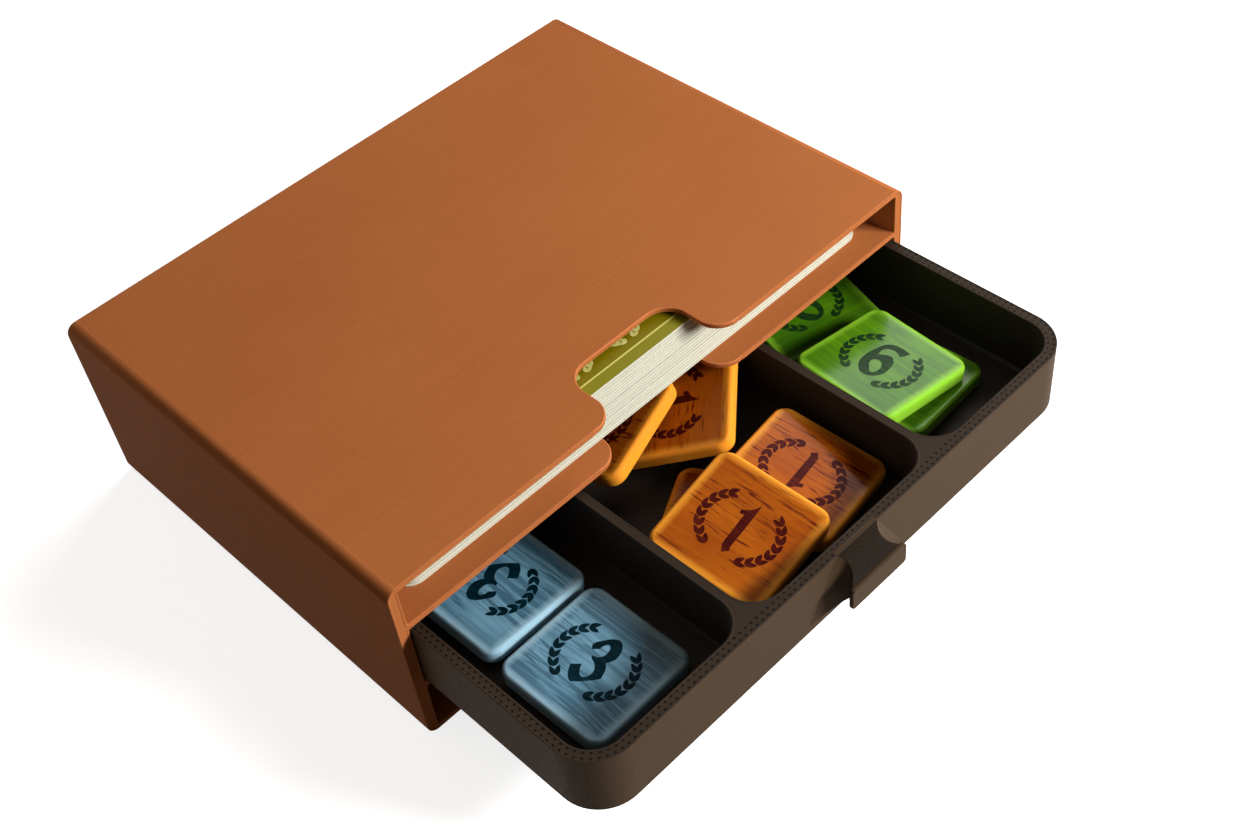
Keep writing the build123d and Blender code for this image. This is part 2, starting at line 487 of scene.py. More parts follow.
@dataclass(frozen=True)
class ResinTile:
    """Glossy cast resin with a printed wood grain that fades out towards soft pale edges.

    Its glow weights say how much light spreads in the bare rim and under the print.
    """

    name: str
    face: Colour
    wash: Colour
    edge: Colour
    grain: Colour
    glow: tuple[float, float, float]
    streaks: WoodGrain
    gloss: float = 0.1
    roughness: float = 0.16
    rim_mm: float = 0.55
    fade_mm: float = 1.35
    print_cover: float = 0.92
    glow_weights: tuple[float, float] = (0.6, 0.08)
    glow_mm: float = 1.0
    swell_mm: float = 0.05
    swell_strength: float = 0.25
    swell_per_mm: float = 0.4
    print_heights_mm: tuple[float, float] = (-0.9, -0.15)
    cloud_scale: tuple[float, float, float] = (0.13, 0.07, 0.13)

    def build(self, half_side_mm: float) -> bpy.types.Material:
        """Build the material.

        Args:
            half_side_mm: half the tile's side.

        Returns:
            The material, which reads a tile's own attributes.
        """
        graph = MaterialGraph(self.name)
        place, seeded = graph.tile_places()
        across, along, up = graph.split(place)
        reach = graph.math("MAXIMUM", graph.math("ABSOLUTE", across), graph.math("ABSOLUTE", along))
        rim_end = half_side_mm - self.rim_mm
        inside = graph.remap(reach, rim_end, rim_end - self.fade_mm)
        on_top = graph.remap(up, *self.print_heights_mm)
        printed = graph.math("MULTIPLY", inside, on_top)
        streak = graph.math("MULTIPLY", self.streaks.strength(graph, seeded), printed)

        cloud = graph.noise(seeded, self.cloud_scale)
        body = graph.mix(graph.remap(cloud, NOISE_LOW, NOISE_HIGH), self.wash, self.face)
        body = graph.mix(graph.math("MULTIPLY", printed, self.print_cover), self.edge, body)
        swell = graph.noise(seeded, self.swell_per_mm, detail=1.0)
        return graph.surface({
            "Base Color": graph.mix(streak, body, self.grain),
            "Roughness": self.roughness,
            "Specular IOR Level": self.gloss,
            "Subsurface Weight": graph.remap(printed, 0.0, 1.0, *self.glow_weights),
            "Subsurface Radius": self.glow,
            "Subsurface Scale": self.glow_mm * MM,
            "Normal": graph.bump(swell, self.swell_mm * MM, self.swell_strength),
        })


@dataclass(frozen=True)
class PrintedMark:
    """The darker ink of a tile's numeral and leaves, thin enough that the grain shows through."""

    name: str
    ink: Colour
    thin_ink: Colour
    roughness: float = 0.2
    specular: float = 0.03
    wear_scale: tuple[float, float, float] = (3.4, 0.4, 0.5)
    wear_roughness: float = 0.65
    wear_range: tuple[float, float] = (0.42, 0.66)
    clouds_per_mm: float = 0.5
    cloud_range: tuple[float, float] = (0.34, 0.62)
    least_wear: float = 0.2

    def build(self) -> bpy.types.Material:
        """Build the material.

        Returns:
            The material, which reads a tile's own attributes.
        """
        graph = MaterialGraph(self.name)
        _, seeded = graph.tile_places()
        wear = graph.noise(seeded, self.wear_scale, detail=3.0, roughness=self.wear_roughness)
        wear = graph.remap(wear, *self.wear_range)
        cloud = graph.remap(graph.noise(seeded, self.clouds_per_mm), *self.cloud_range, self.least_wear, 1.0)
        return graph.surface({
            "Base Color": graph.mix(graph.math("MULTIPLY", wear, cloud), self.ink, self.thin_ink),
            "Roughness": self.roughness,
            "Specular IOR Level": self.specular,
        })


@dataclass(frozen=True)
class CardStock:
    """The cut edge and plain back of a card: warm white with a faint change from card to card."""

    name: str
    colour: Colour
    shade: Colour
    roughness: float = 0.7
    specular: float = 0.2
    fibre_share: float = 0.05
    tone_range: tuple[float, float] = (0.25, 0.7)
    card_scale: tuple[float, float, float] = (12.0, 12.0, 3300.0)
    fibre_scale: tuple[float, float, float] = (120.0, 900.0, 5000.0)

    def build(self) -> bpy.types.Material:
        """Build the material.

        Returns:
            The material.
        """
        graph = MaterialGraph(self.name)
        place = graph.object_coordinates()
        per_card = graph.noise(place, self.card_scale, detail=1.0)
        fibre = graph.math("MULTIPLY", graph.noise(place, self.fibre_scale), self.fibre_share)
        tone = graph.math("MULTIPLY_ADD", per_card, 1 - self.fibre_share, fibre)
        return graph.surface({
            "Base Color": graph.mix(graph.remap(tone, *self.tone_range), self.shade, self.colour),
            "Roughness": self.roughness,
            "Specular IOR Level": self.specular,
        })


@dataclass(frozen=True)
class CardFace:
    """The printed back of the top card: an olive field in a thin pale frame, with a lighter band round it."""

    name: str
    field: Colour
    band: Colour
    line: Colour
    band_mm: float = 2.3
    line_mm: float = 0.32
    soft_mm: float = 0.05
    roughness: float = 0.42
    specular: float = 0.1
    mottle_per_metre: float = 900.0
    mottle_share: float = 0.25
    mottle_range: tuple[float, float] = (0.3, 0.7)
    mottle_depth_mm: float = 0.006
    mottle_strength: float = 0.4

    def build(self, card: Box) -> bpy.types.Material:
        """Build the material.

        Args:
            card: the card's box, from whose edges the frame is set off.

        Returns:
            The material.
        """
        graph = MaterialGraph(self.name)
        place = graph.object_coordinates()
        parts = graph.split(place)
        gaps = []
        for axis in (0, 1):
            off_middle = graph.math("ABSOLUTE", graph.math("SUBTRACT", parts[axis], card.middle[axis]))
            gaps.append(graph.math("SUBTRACT", card.size[axis] / 2, off_middle))
        gap = graph.math("MINIMUM", *gaps)
        soft = self.soft_mm * MM
        outer = self.band_mm * MM
        inner = (self.band_mm + self.line_mm) * MM
        in_line = graph.remap(gap, outer - soft, outer + soft)
        in_field = graph.remap(gap, inner - soft, inner + soft)
        mottle = graph.noise(place, self.mottle_per_metre, detail=3.0)
        mottled = graph.remap(mottle, *self.mottle_range, 0.0, self.mottle_share)
        field = graph.mix(mottled, self.field, self.band)
        frame = graph.mix(in_line, self.band, self.line)
        return graph.surface({
            "Base Color": graph.mix(in_field, frame, field),
            "Roughness": self.roughness,
            "Specular IOR Level": self.specular,
            "Normal": graph.bump(mottle, self.mottle_depth_mm * MM, self.mottle_strength),
        })


@dataclass(frozen=True)
class CardInk:
    """The pale ink of the small wreaths on the card's back, a little uneven."""

    name: str
    ink: Colour
    worn: Colour
    roughness: float = 0.45
    specular: float = 0.1
    mottle_per_metre: float = 1400.0
    mottle_range: tuple[float, float] = (0.35, 0.65)

    def build(self) -> bpy.types.Material:
        """Build the material.

        Returns:
            The material.
        """
        graph = MaterialGraph(self.name)
        mottle = graph.noise(graph.object_coordinates(), self.mottle_per_metre)
        return graph.surface({
            "Base Color": graph.mix(graph.remap(mottle, *self.mottle_range), self.worn, self.ink),
            "Roughness": self.roughness,
            "Specular IOR Level": self.specular,
        })


def arc_points(centre: Point, radius: float, start: float, end: float, steps: int) -> list[Point]:
    """Return points along an arc.

    Args:
        centre: the arc's centre.
        radius: its radius.
        start: its first angle in degrees.
        end: its last angle in degrees.
        steps: how many chords it has.

    Returns:
        The points, one more than the chords.
    """
    turns = [math.radians(start + (end - start) * i / steps) for i in range(steps + 1)]
    return [(centre[0] + radius * math.cos(t), centre[1] + radius * math.sin(t)) for t in turns]


def rounded_rectangle(
    centre: Point, width: float, length: float, radius: float, steps: int = 8
) -> list[Point]:
    """Return a rounded rectangle's outline, anticlockwise.

    Args:
        centre: the rectangle's centre.
        width: its size along the first axis.
        length: its size along the second axis.
        radius: its corners' radius.
        steps: how many chords each corner has.

    Returns:
        The outline's points.
    """
    points: list[Point] = []
    for quarter, (sx, sy) in enumerate(((1, 1), (-1, 1), (-1, -1), (1, -1))):
        corner = (centre[0] + sx * (width / 2 - radius), centre[1] + sy * (length / 2 - radius))
        points += arc_points(corner, radius, quarter * 90, quarter * 90 + 90, steps)
    return points


def in_plan(points: Iterable[Point], height: float) -> list[Vector]:
    """Return plan points lifted to a height."""
    return [Vector((x, y, height)) for x, y in points]


def stand_up(points: Iterable[Point], depth: float) -> list[Vector]:
    """Return points of an upright plane across the case, at a place along its depth."""
    return [Vector((x, depth, z)) for x, z in points]


def add_object(name: str, data: bpy.types.ID) -> bpy.types.Object:
    """Add an object at the origin to the scene.

    Args:
        name: the object's name.
        data: what it shows or holds: a mesh, a curve, a lamp or a camera.

    Returns:
        The new object.
    """
    made = bpy.data.objects.new(name, data)
    bpy.context.scene.collection.objects.link(made)
    return made


def path_object(name: str, courses: Iterable[Course]) -> bpy.types.Object:
    """Return a curve object with one straight-sided spline for each path.

    Args:
        name: the object's name.
        courses: the paths.

    Returns:
        The object, in the scene.
    """
    curve = bpy.data.curves.new(name, "CURVE")
    curve.dimensions = "3D"
    for points, closed in courses:
        spline = curve.splines.new("POLY")
        spline.points.add(len(points) - 1)
        for place, point in zip(spline.points, points):
            place.co = (*point, 1.0)
        spline.use_cyclic_u = closed
    return add_object(name, curve)


def plain_mesh(source: bpy.types.Object, name: str) -> bpy.types.Mesh:
    """Return an object's evaluated shape as a plain mesh.

    Args:
        source: the object, with its modifiers.
        name: the mesh's name.

    Returns:
        The mesh.
    """
    bpy.context.view_layer.update()
    graph = bpy.context.evaluated_depsgraph_get()
    mesh = bpy.data.meshes.new_from_object(source.evaluated_get(graph), depsgraph=graph)
    mesh.name = name
    return mesh


def take_mesh(source: bpy.types.Object, name: str) -> bpy.types.Mesh:
    """Return an object's evaluated shape as a plain mesh, and remove the object.

    Args:
        source: the object, with its modifiers.
        name: the mesh's name.

    Returns:
        The mesh.
    """
    mesh = plain_mesh(source, name)
    bpy.data.objects.remove(source)
    return mesh


def mesh_from(name: str, build: Callable[[bmesh.types.BMesh], None]) -> bpy.types.Mesh:
    """Return a mesh that a function fills.

    Args:
        name: the mesh's name.
        build: fills the working mesh.

    Returns:
        The finished mesh.
    """
    work = bmesh.new()
    build(work)
    mesh = bpy.data.meshes.new(name)
    work.to_mesh(mesh)
    work.free()
    return mesh


def reshape(mesh: bpy.types.Mesh, change: Callable[[bmesh.types.BMesh], None]) -> None:
    """Change a mesh in place.

    Args:
        mesh: the mesh.
        change: changes the working mesh.
    """
    work = bmesh.new()
    work.from_mesh(mesh)
    change(work)
    work.to_mesh(mesh)
    work.free()


def close_up(work: bmesh.types.BMesh) -> None:
    """Merge a working mesh's doubled vertices and turn its faces outwards."""
    bmesh.ops.remove_doubles(work, verts=work.verts, dist=1e-5)
    bmesh.ops.recalc_face_normals(work, faces=work.faces)


def face_up(work: bmesh.types.BMesh) -> None:
    """Turn every flat face of a working mesh upwards."""
    for face in work.faces:
        face.normal_update()
        if face.normal.z < 0:
            face.normal_flip()


def add_ring(work: bmesh.types.BMesh, points: Iterable[Vector]) -> list[bmesh.types.BMVert]:
    """Add a ring of vertices to a working mesh."""
    return [work.verts.new(point) for point in points]


def bridge(
    work: bmesh.types.BMesh,
    lower: Sequence[bmesh.types.BMVert],
    upper: Sequence[bmesh.types.BMVert],
    finish: int = 0,
) -> list[bmesh.types.BMFace]:
    """Add a band of faces between two rings of as many vertices.

    Args:
        work: the working mesh.
        lower: the first ring's vertices.
        upper: the second ring's vertices.
        finish: the band's material, by its number.

    Returns:
        The band's faces, in the rings' order.
    """
    faces = []
    for i, vert in enumerate(lower):
        after = (i + 1) % len(lower)
        faces.append(work.faces.new((vert, lower[after], upper[after], upper[i])))
        faces[-1].material_index = finish
    return faces


def add_prism(work: bmesh.types.BMesh, outline: Sequence[Vector], shift: Vector) -> None:
    """Add a closed prism to a working mesh.

    Args:
        work: the working mesh.
        outline: the first end's corners.
        shift: the way from the first end to the other.
    """
    first = add_ring(work, outline)
    last = add_ring(work, (point + shift for point in outline))
    faces = [work.faces.new(first), work.faces.new(last), *bridge(work, first, last)]
    bmesh.ops.recalc_face_normals(work, faces=faces)


def prism_object(name: str, outline: Sequence[Vector], shift: Vector) -> bpy.types.Object:
    """Return an object that shows a closed prism.

    Args:
        name: the object's name.
        outline: the first end's corners.
        shift: the way from the first end to the other.

    Returns:
        The object, in the scene.
    """
    return add_object(name, mesh_from(name, lambda work: add_prism(work, outline, shift)))


def join_meshes(name: str, meshes: Sequence[bpy.types.Mesh]) -> bpy.types.Mesh:
    """Return one mesh that holds several, with their materials.

    Args:
        name: the new mesh's name.
        meshes: the meshes to join.

    Returns:
        The joined mesh.
    """
    joined = bpy.data.meshes.new(name)
    slots: list[bpy.types.Material] = []
    work = bmesh.new()
    for mesh in meshes:
        start = len(work.faces)
        work.from_mesh(mesh)
        work.faces.ensure_lookup_table()
        for material in mesh.materials:
            if material not in slots:
                slots.append(material)
        for face in work.faces[start:]:
            face.material_index = slots.index(mesh.materials[face.material_index]) if mesh.materials else 0
    work.to_mesh(joined)
    work.free()
    for material in slots:
        joined.materials.append(material)
    return joined


def smooth_by_angle(mesh: bpy.types.Mesh, degrees: float, flat_mm2: float = 25.0) -> None:
    """Shade a mesh smooth, except across sharp edges and on its large plane faces.

    Args:
        mesh: the mesh.
        degrees: edges sharper than this stay sharp.
        flat_mm2: faces larger than this, in square millimetres, stay flat.
    """
    limit = math.radians(degrees)

    def shade(work: bmesh.types.BMesh) -> None:
        """Mark the faces and edges that are shaded smooth."""
        for face in work.faces:
            face.smooth = face.calc_area() < flat_mm2 * MM * MM
        for edge in work.edges:
            edge.smooth = len(edge.link_faces) == 2 and edge.calc_face_angle(0.0) < limit

    reshape(mesh, shade)


def softened(
    source: bpy.types.Object,
    width: float,
    segments: int,
    angle: float,
    finishes: Sequence[bpy.types.Material],
) -> bpy.types.Mesh:
    """Return an object's mesh with its sharp edges rounded.

    Args:
        source: the object, which is removed.
        width: the rounding's width in metres.
        segments: how many faces each rounding has.
        angle: edges sharper than this many degrees are rounded.
        finishes: the body's material and, where it has its own, the roundings' material.

    Returns:
        The rounded mesh.
    """
    bevel = source.modifiers.new("soft edges", "BEVEL")
    bevel.width = width
    bevel.segments = segments
    bevel.limit_method = "ANGLE"
    bevel.angle_limit = math.radians(angle)
    bevel.harden_normals = False
    source.data.materials.clear()
    for finish in finishes:
        source.data.materials.append(finish)
    bevel.material = len(finishes) - 1
    return take_mesh(source, source.name)


def cut(source: bpy.types.Object, cutter: bpy.types.Object) -> None:
    """Cut one object's shape out of another, and remove the cutter.

    Args:
        source: the object that is cut.
        cutter: the object whose shape is taken away.
    """
    knife = source.modifiers.new("cut", "BOOLEAN")
    knife.operation = "DIFFERENCE"
    knife.solver = "EXACT"
    knife.object = cutter
    source.data = plain_mesh(source, source.data.name)
    source.modifiers.clear()
    bpy.data.objects.remove(cutter)


class ShapeTree(NodeGraph):
    """A Geometry Nodes tree with named inputs, which turns an object's shape into a dressed plain mesh."""

    def __init__(self, name: str, inputs: dict[str, Socket]) -> None:
        """Start the tree.

        Args:
            name: the tree's name.
            inputs: the named inputs and their kinds, beside the shape itself and its finish.
        """
        super().__init__(bpy.data.node_groups.new(name, "GeometryNodeTree"))
        face = self.tree.interface
        face.new_socket("Shape", in_out="INPUT", socket_type="NodeSocketGeometry")
        self.identifiers: dict[str, str] = {}
        for label, kind in {**inputs, "Finish": Socket.MATERIAL}.items():
            made = face.new_socket(label, in_out="INPUT", socket_type=kind.value)
            self.identifiers[label] = made.identifier
        face.new_socket("Shape", in_out="OUTPUT", socket_type="NodeSocketGeometry")
        self.given = self.node("NodeGroupInput").outputs

    def follow(self, spots: bpy.types.Node, shape: bpy.types.NodeSocket, axis: str) -> bpy.types.NodeSocket:
        """Set a shape on each of a curve's points, turned in plan to follow the curve.

        Args:
            spots: the node that gives the curve's points.
            shape: the shape.
            axis: the shape's own axis that follows the curve.

        Returns:
            The instances' socket.
        """
        tangent = {"Vector": spots.outputs["Tangent"]}
        turn = self.node("FunctionNodeAlignRotationToVector", tangent, axis=axis, pivot_axis="Z")
        inputs = {"Points": spots.outputs["Points"], "Instance": shape, "Rotation": turn.outputs["Rotation"]}
        return self.node("GeometryNodeInstanceOnPoints", inputs).outputs[0]

    def close(self, shape: bpy.types.NodeSocket) -> None:
        """End the tree: make its instances real, give them the finish and hand them over.

        Args:
            shape: the shape that the tree has made.
        """
        real = self.node("GeometryNodeRealizeInstances", {"Geometry": shape}).outputs[0]
        dressed = self.node("GeometryNodeSetMaterial", {"Geometry": real, "Material": self.given["Finish"]})
        self.node("NodeGroupOutput", {0: dressed.outputs[0]})

    def run(self, source: bpy.types.Object, name: str, values: dict[str, object]) -> bpy.types.Mesh:
        """Run the tree on an object.

        Args:
            source: the object, which is removed.
            name: the mesh's name.
            values: a value for each named input.

        Returns:
            One plain mesh.
        """
        modifier = source.modifiers.new(self.tree.name, "NODES")
        modifier.node_group = self.tree
        for label, value in values.items():
            modifier[self.identifiers[label]] = value
        return take_mesh(source, name)


class BeadTree(ShapeTree):
    """Lays a flattened bead of plastic along every curve."""

    def __init__(self) -> None:
        """Build the tree once for every bead of the prints."""
        inputs = {"Bead Width": Socket.NUMBER, "Bead Height": Socket.NUMBER, "Stacked Along": Socket.VECTOR}
        super().__init__("printed_bead", inputs)
        given = self.given
        circle = self.node("GeometryNodeCurvePrimitiveCircle", {"Resolution": 8, "Radius": 0.5})
        stretch = self.node("ShaderNodeCombineXYZ", {0: given["Bead Height"], 1: given["Bead Width"], 2: 1.0})
        profile = {"Geometry": circle.outputs["Curve"], "Scale": stretch.outputs[0]}
        oval = self.node("GeometryNodeTransform", profile).outputs["Geometry"]
        course = {0: given["Shape"], "Normal": given["Stacked Along"]}
        upright = self.node("GeometryNodeSetCurveNormal", course, mode="FREE").outputs[0]
        sweep = {"Curve": upright, "Profile Curve": oval, "Fill Caps": True}
        self.close(self.node("GeometryNodeCurveToMesh", sweep).outputs["Mesh"])

    def lay(
        self,
        name: str,
        courses: Iterable[Course],
        width: float,
        height: float,
        stacked: Axis,
        finish: bpy.types.Material,
    ) -> bpy.types.Mesh:
        """Return the mesh of beads along paths.

        Args:
            name: the mesh's name.
            courses: the paths.
            width: the bead's width in metres.
            height: the bead's height in metres.
            stacked: the axis along which the print's layers lie on each other.
            finish: the bead's material.

        Returns:
            One plain mesh.
        """
        values = {
            "Bead Width": width,
            "Bead Height": height,
            "Stacked Along": [float(axis == stacked.value) for axis in range(3)],
            "Finish": finish,
        }
        mesh = self.run(path_object(name + "_paths", courses), name, values)
        for polygon in mesh.polygons:
            polygon.use_smooth = True
        return mesh


class PitTree(ShapeTree):
    """Sets small near-black discs along every curve, painted shade in the gaps where a zigzag of plastic
    turns back.
    """

    def __init__(self) -> None:
        """Build the tree once."""
        super().__init__("row_of_pits", {"Pit Spacing": Socket.NUMBER, "Pit Radius": Socket.NUMBER})
        given = self.given
        course = {"Curve": given["Shape"], "Length": given["Pit Spacing"]}
        spots = self.node("GeometryNodeCurveToPoints", course, mode="LENGTH")
        outline = {"Vertices": 5, "Radius": given["Pit Radius"]}
        pit = self.node("GeometryNodeMeshCircle", outline, fill_type="NGON").outputs["Mesh"]
        self.close(self.follow(spots, pit, "X"))

    def punch(
        self,
        name: str,
        courses: Iterable[Course],
        spacing: float,
        radius: float,
        finish: bpy.types.Material,
    ) -> bpy.types.Mesh:
        """Return the mesh of pits along level paths, facing up.

        Args:
            name: the mesh's name.
            courses: the paths.
            spacing: the distance between pits in metres.
            radius: the pits' radius in metres.
            finish: the pits' material.

        Returns:
            One plain mesh.
        """
        values = {"Pit Spacing": spacing, "Pit Radius": radius, "Finish": finish}
        mesh = self.run(path_object(name + "_paths", courses), name, values)
        reshape(mesh, face_up)
        return mesh


class BranchTree(ShapeTree):
    """Sets a pair of leaves along an arc."""

    def __init__(self) -> None:
        """Build the tree once."""
        inputs = {
            "Arc Radius": Socket.NUMBER,
            "Start Angle": Socket.NUMBER,
            "Sweep Angle": Socket.NUMBER,
            "Leaf Count": Socket.COUNT,
        }
        super().__init__("leafy_branch", inputs)
        given = self.given
        bend = {
            "Resolution": 64,
            "Radius": given["Arc Radius"],
            "Start Angle": given["Start Angle"],
            "Sweep Angle": given["Sweep Angle"],
        }
        arc = self.node("GeometryNodeCurveArc", bend).outputs["Curve"]
        spread = {"Curve": arc, "Count": given["Leaf Count"]}
        spots = self.node("GeometryNodeCurveToPoints", spread, mode="COUNT")
        self.close(self.follow(spots, given["Shape"], "Y"))


class RowsTree(ShapeTree):
    """Sets a shape out in rows, with every other row moved back by half a step."""

    def __init__(self) -> None:
        """Build the tree once."""
        inputs = {"Columns": Socket.COUNT, "Rows": Socket.COUNT, "Step": Socket.NUMBER}
        super().__init__("staggered_rows", inputs)
        given = self.given
        row_number = self.node("GeometryNodeInputIndex").outputs[0]
        odd = self.math("MODULO", row_number, 2.0)
        back = self.math("MULTIPLY", odd, self.math("MULTIPLY", given["Step"], -0.5))
        shift = self.node("ShaderNodeCombineXYZ", {0: back}).outputs[0]
        starts = {"Geometry": self.line("Rows", 1), "Offset": shift}
        starts = self.node("GeometryNodeSetPosition", starts).outputs[0]
        row = {"Points": self.line("Columns", 0), "Instance": given["Shape"]}
        row = self.node("GeometryNodeInstanceOnPoints", row).outputs[0]
        rows = {"Points": starts, "Instance": row}
        self.close(self.node("GeometryNodeInstanceOnPoints", rows).outputs[0])

    def line(self, count: str, axis: int) -> bpy.types.NodeSocket:
        """Return a line of points, one step apart.

        Args:
            count: the input that holds how many points it has.
            axis: the axis that it follows, as an index of X, Y and Z.

        Returns:
            The line's socket.
        """
        offset = self.node("ShaderNodeCombineXYZ", {axis: self.given["Step"]}).outputs[0]
        return self.node("GeometryNodeMeshLine", {"Count": self.given[count], "Offset": offset}).outputs[0]


@dataclass
class Case:
    """The printed sleeve: plates, walls, thumb notches and the beads of its last layer."""

    box: Box
    beads: BeadTree
    finish: bpy.types.Material
    # The rounded edges' finish: a brighter copy of the plastic, partly wear and partly painted highlight
    # where the edges catch light.
    edge_wear_and_highlight: bpy.types.Material
    wall_mm: float = 2.0
    plate_mm: float = 1.0
    edge_radius_mm: float = 2.0
    bay_corner_mm: float = 0.35
    card_slot_mm: float = 8.0
    drawer_bay_mm: float = 13.5
    notch_width_mm: float = 23.0
    notch_depth_mm: float = 12.0
    notch_radius_mm: float = 4.5
    bead_mm: float = 0.45
    layer_mm: float = 0.2
    bead_rise_mm: float = 0.07
    bead_stop_mm: float = 0.5
    soft_edge_mm: float = 0.16
    cutter_ahead_mm: float = 2.0
    cutter_margin: float = 0.4

    CARD_SLOT, DRAWER_BAY, LOWER_BAY = range(3)

    @property
    def bays(self) -> list[tuple[float, float]]:
        """The heights between which each bay is open: card slot, drawer bay and lower bay."""
        top = self.box.high.z - self.plate_mm * MM
        card_floor = top - self.card_slot_mm * MM
        drawer_top = card_floor - self.plate_mm * MM
        drawer_floor = drawer_top - self.drawer_bay_mm * MM
        lower_top = drawer_floor - self.plate_mm * MM
        lower_floor = self.box.low.z + self.plate_mm * MM
        return [(card_floor, top), (drawer_floor, drawer_top), (lower_floor, lower_top)]

    @property
    def inner_half(self) -> float:
        """Half the bays' width."""
        return self.box.size.x / 2 - self.wall_mm * MM

    @property
    def centre(self) -> Point:
        """The front's middle, across and up."""
        return (self.box.middle.x, self.box.middle.z)

    def bay_outline(self, low: float, high: float, grow: float) -> list[Point]:
        """Return a bay's outline on the front.

        Args:
            low: the height of its floor.
            high: the height of its top.
            grow: how far it is drawn larger, in metres.

        Returns:
            The outline's points.
        """
        middle = (self.centre[0], (low + high) / 2)
        width = 2 * (self.inner_half + grow)
        return rounded_rectangle(middle, width, high - low + 2 * grow, self.bay_corner_mm * MM + grow, 3)

    def notch_outline(self, ahead: float, steps: int = 14) -> list[Point]:
        """Return the thumb notch in plan, running out of the front by a given distance.

        Args:
            ahead: how far in front of the case the outline ends.
            steps: how many chords each rounding has.

        Returns:
            The outline's points.
        """
        half = self.notch_width_mm * MM / 2
        r = self.notch_radius_mm * MM
        front = self.box.low.y
        deep = front + self.notch_depth_mm * MM
        points: list[Point] = [(-half - r, front - ahead)]
        points += arc_points((-half - r, front + r), r, -90, 0, steps)
        points += arc_points((-half + r, deep - r), r, 180, 90, steps)
        points += arc_points((half - r, deep - r), r, 90, 0, steps)
        points += arc_points((half + r, front + r), r, 180, 270, steps)
        points.append((half + r, front - ahead))
        return points

    def shell(self) -> bpy.types.Mesh:
        """Make the sleeve with its bays and notches, set back at the front by what its beads stand proud.

        Returns:
            The sleeve's mesh.
        """
        front = self.box.low.y + self.bead_rise_mm * MM
        ahead = self.cutter_ahead_mm * MM
        radius = self.edge_radius_mm * MM
        outline = rounded_rectangle(self.centre, self.box.size.x, self.box.size.z, radius, 12)
        depth = Vector((0, self.box.high.y - front, 0))
        body = prism_object("case_body", stand_up(outline, front), depth)
        back = self.box.high.y - self.wall_mm * MM
        for low, high in self.bays:
            start = front - ahead
            hollow = stand_up(self.bay_outline(low, high, 0.0), start)
            cut(body, prism_object("bay", hollow, Vector((0, back - start, 0))))
        slot, drawer_bay = self.bays[self.CARD_SLOT], self.bays[self.DRAWER_BAY]
        margin = self.cutter_margin * self.plate_mm * MM
        for low, high in ((slot[1], self.box.high.z), (drawer_bay[1], slot[0])):
            plan = in_plan(self.notch_outline(ahead), low - margin)
            cut(body, prism_object("notch", plan, Vector((0, 0, high - low + 2 * margin))))
        mesh = softened(body, self.soft_edge_mm * MM, 2, 40, (self.finish, self.edge_wear_and_highlight))
        smooth_by_angle(mesh, 32)
        return mesh

    def front_courses(self) -> list[Course]:
        """Return the paths of the beads that close the front, round its outer edge and round every bay.

        Returns:
            The paths.
        """
        depth = self.box.low.y + self.layer_mm * MM / 2
        bead = self.bead_mm * MM
        gap = (self.notch_width_mm / 2 + self.notch_radius_mm + self.bead_stop_mm) * MM
        radius = self.edge_radius_mm * MM - bead / 2
        outer = rounded_rectangle(self.centre, self.box.size.x - bead, self.box.size.z - bead, radius)
        crown = self.box.high.z - self.edge_radius_mm * MM
        courses: list[Course] = [(self.open_ring(outer, gap, crown, depth), False)]
        for number, (low, high) in enumerate(self.bays):
            ring = self.bay_outline(low, high, bead / 2)
            courses += self.bay_courses(ring, gap, depth, number)
        return courses

    def open_ring(self, ring: Sequence[Point], gap: float, above: float, depth: float) -> list[Vector]:
        """Return a closed ring opened where the notch interrupts its upper run.

        Args:
            ring: the ring's points, anticlockwise.
            gap: half the width of the opening.
            above: only the run above this height is opened.
            depth: the ring's place along the case's depth.

        Returns:
            The open path, from the left side of the gap round to the right side.
        """
        upper_left = [i for i, (x, z) in enumerate(ring) if z > above and x < 0]
        start = min(upper_left, key=lambda i: -ring[i][0])
        ordered = [*ring[start:], *ring[:start]]
        z = ordered[0][1]
        return stand_up([(-gap, z), *ordered, (gap, z)], depth)

    def bay_courses(self, ring: Sequence[Point], gap: float, depth: float, number: int) -> list[Course]:
        """Return the parts of a bay's ring that the notches leave.

        Args:
            ring: the ring's points, anticlockwise.
            gap: half the width of each opening.
            depth: the ring's place along the case's depth.
            number: the bay's number: the card slot is open above and below, and the drawer bay above.

        Returns:
            The paths.
        """
        if number == self.LOWER_BAY:
            return [(stand_up(ring, depth), True)]
        top = max(z for _, z in ring)
        bottom = min(z for _, z in ring)
        hub = (0.9 * self.inner_half, (top + bottom) / 2)
        sides = []
        for side in (1, -1):
            points = [(x, z) for x, z in ring if side * x > 0]
            sides.append(sorted(points, key=lambda p: math.atan2(p[1] - hub[1], side * p[0] - hub[0])))
        right, left = sides
        if number == self.CARD_SLOT:
            return [
                (stand_up([(gap, bottom), *right, (gap, top)], depth), False),
                (stand_up([(-gap, bottom), *left, (-gap, top)], depth), False),
            ]
        return [(stand_up([(gap, top), *reversed(right), *left, (-gap, top)], depth), False)]

    def make(self) -> bpy.types.Object:
        """Make the finished case.

        Returns:
            The case.
        """
        beads = self.beads.lay(
            "case_beads",
            self.front_courses(),
            self.bead_mm * MM,
            self.layer_mm * MM,
            Axis.ALONG_Y,
            self.finish,
        )
        piece = add_object("case_sleeve", join_meshes("case_sleeve", [self.shell(), beads]))
        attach(piece, "case")
        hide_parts("case")
        return piece


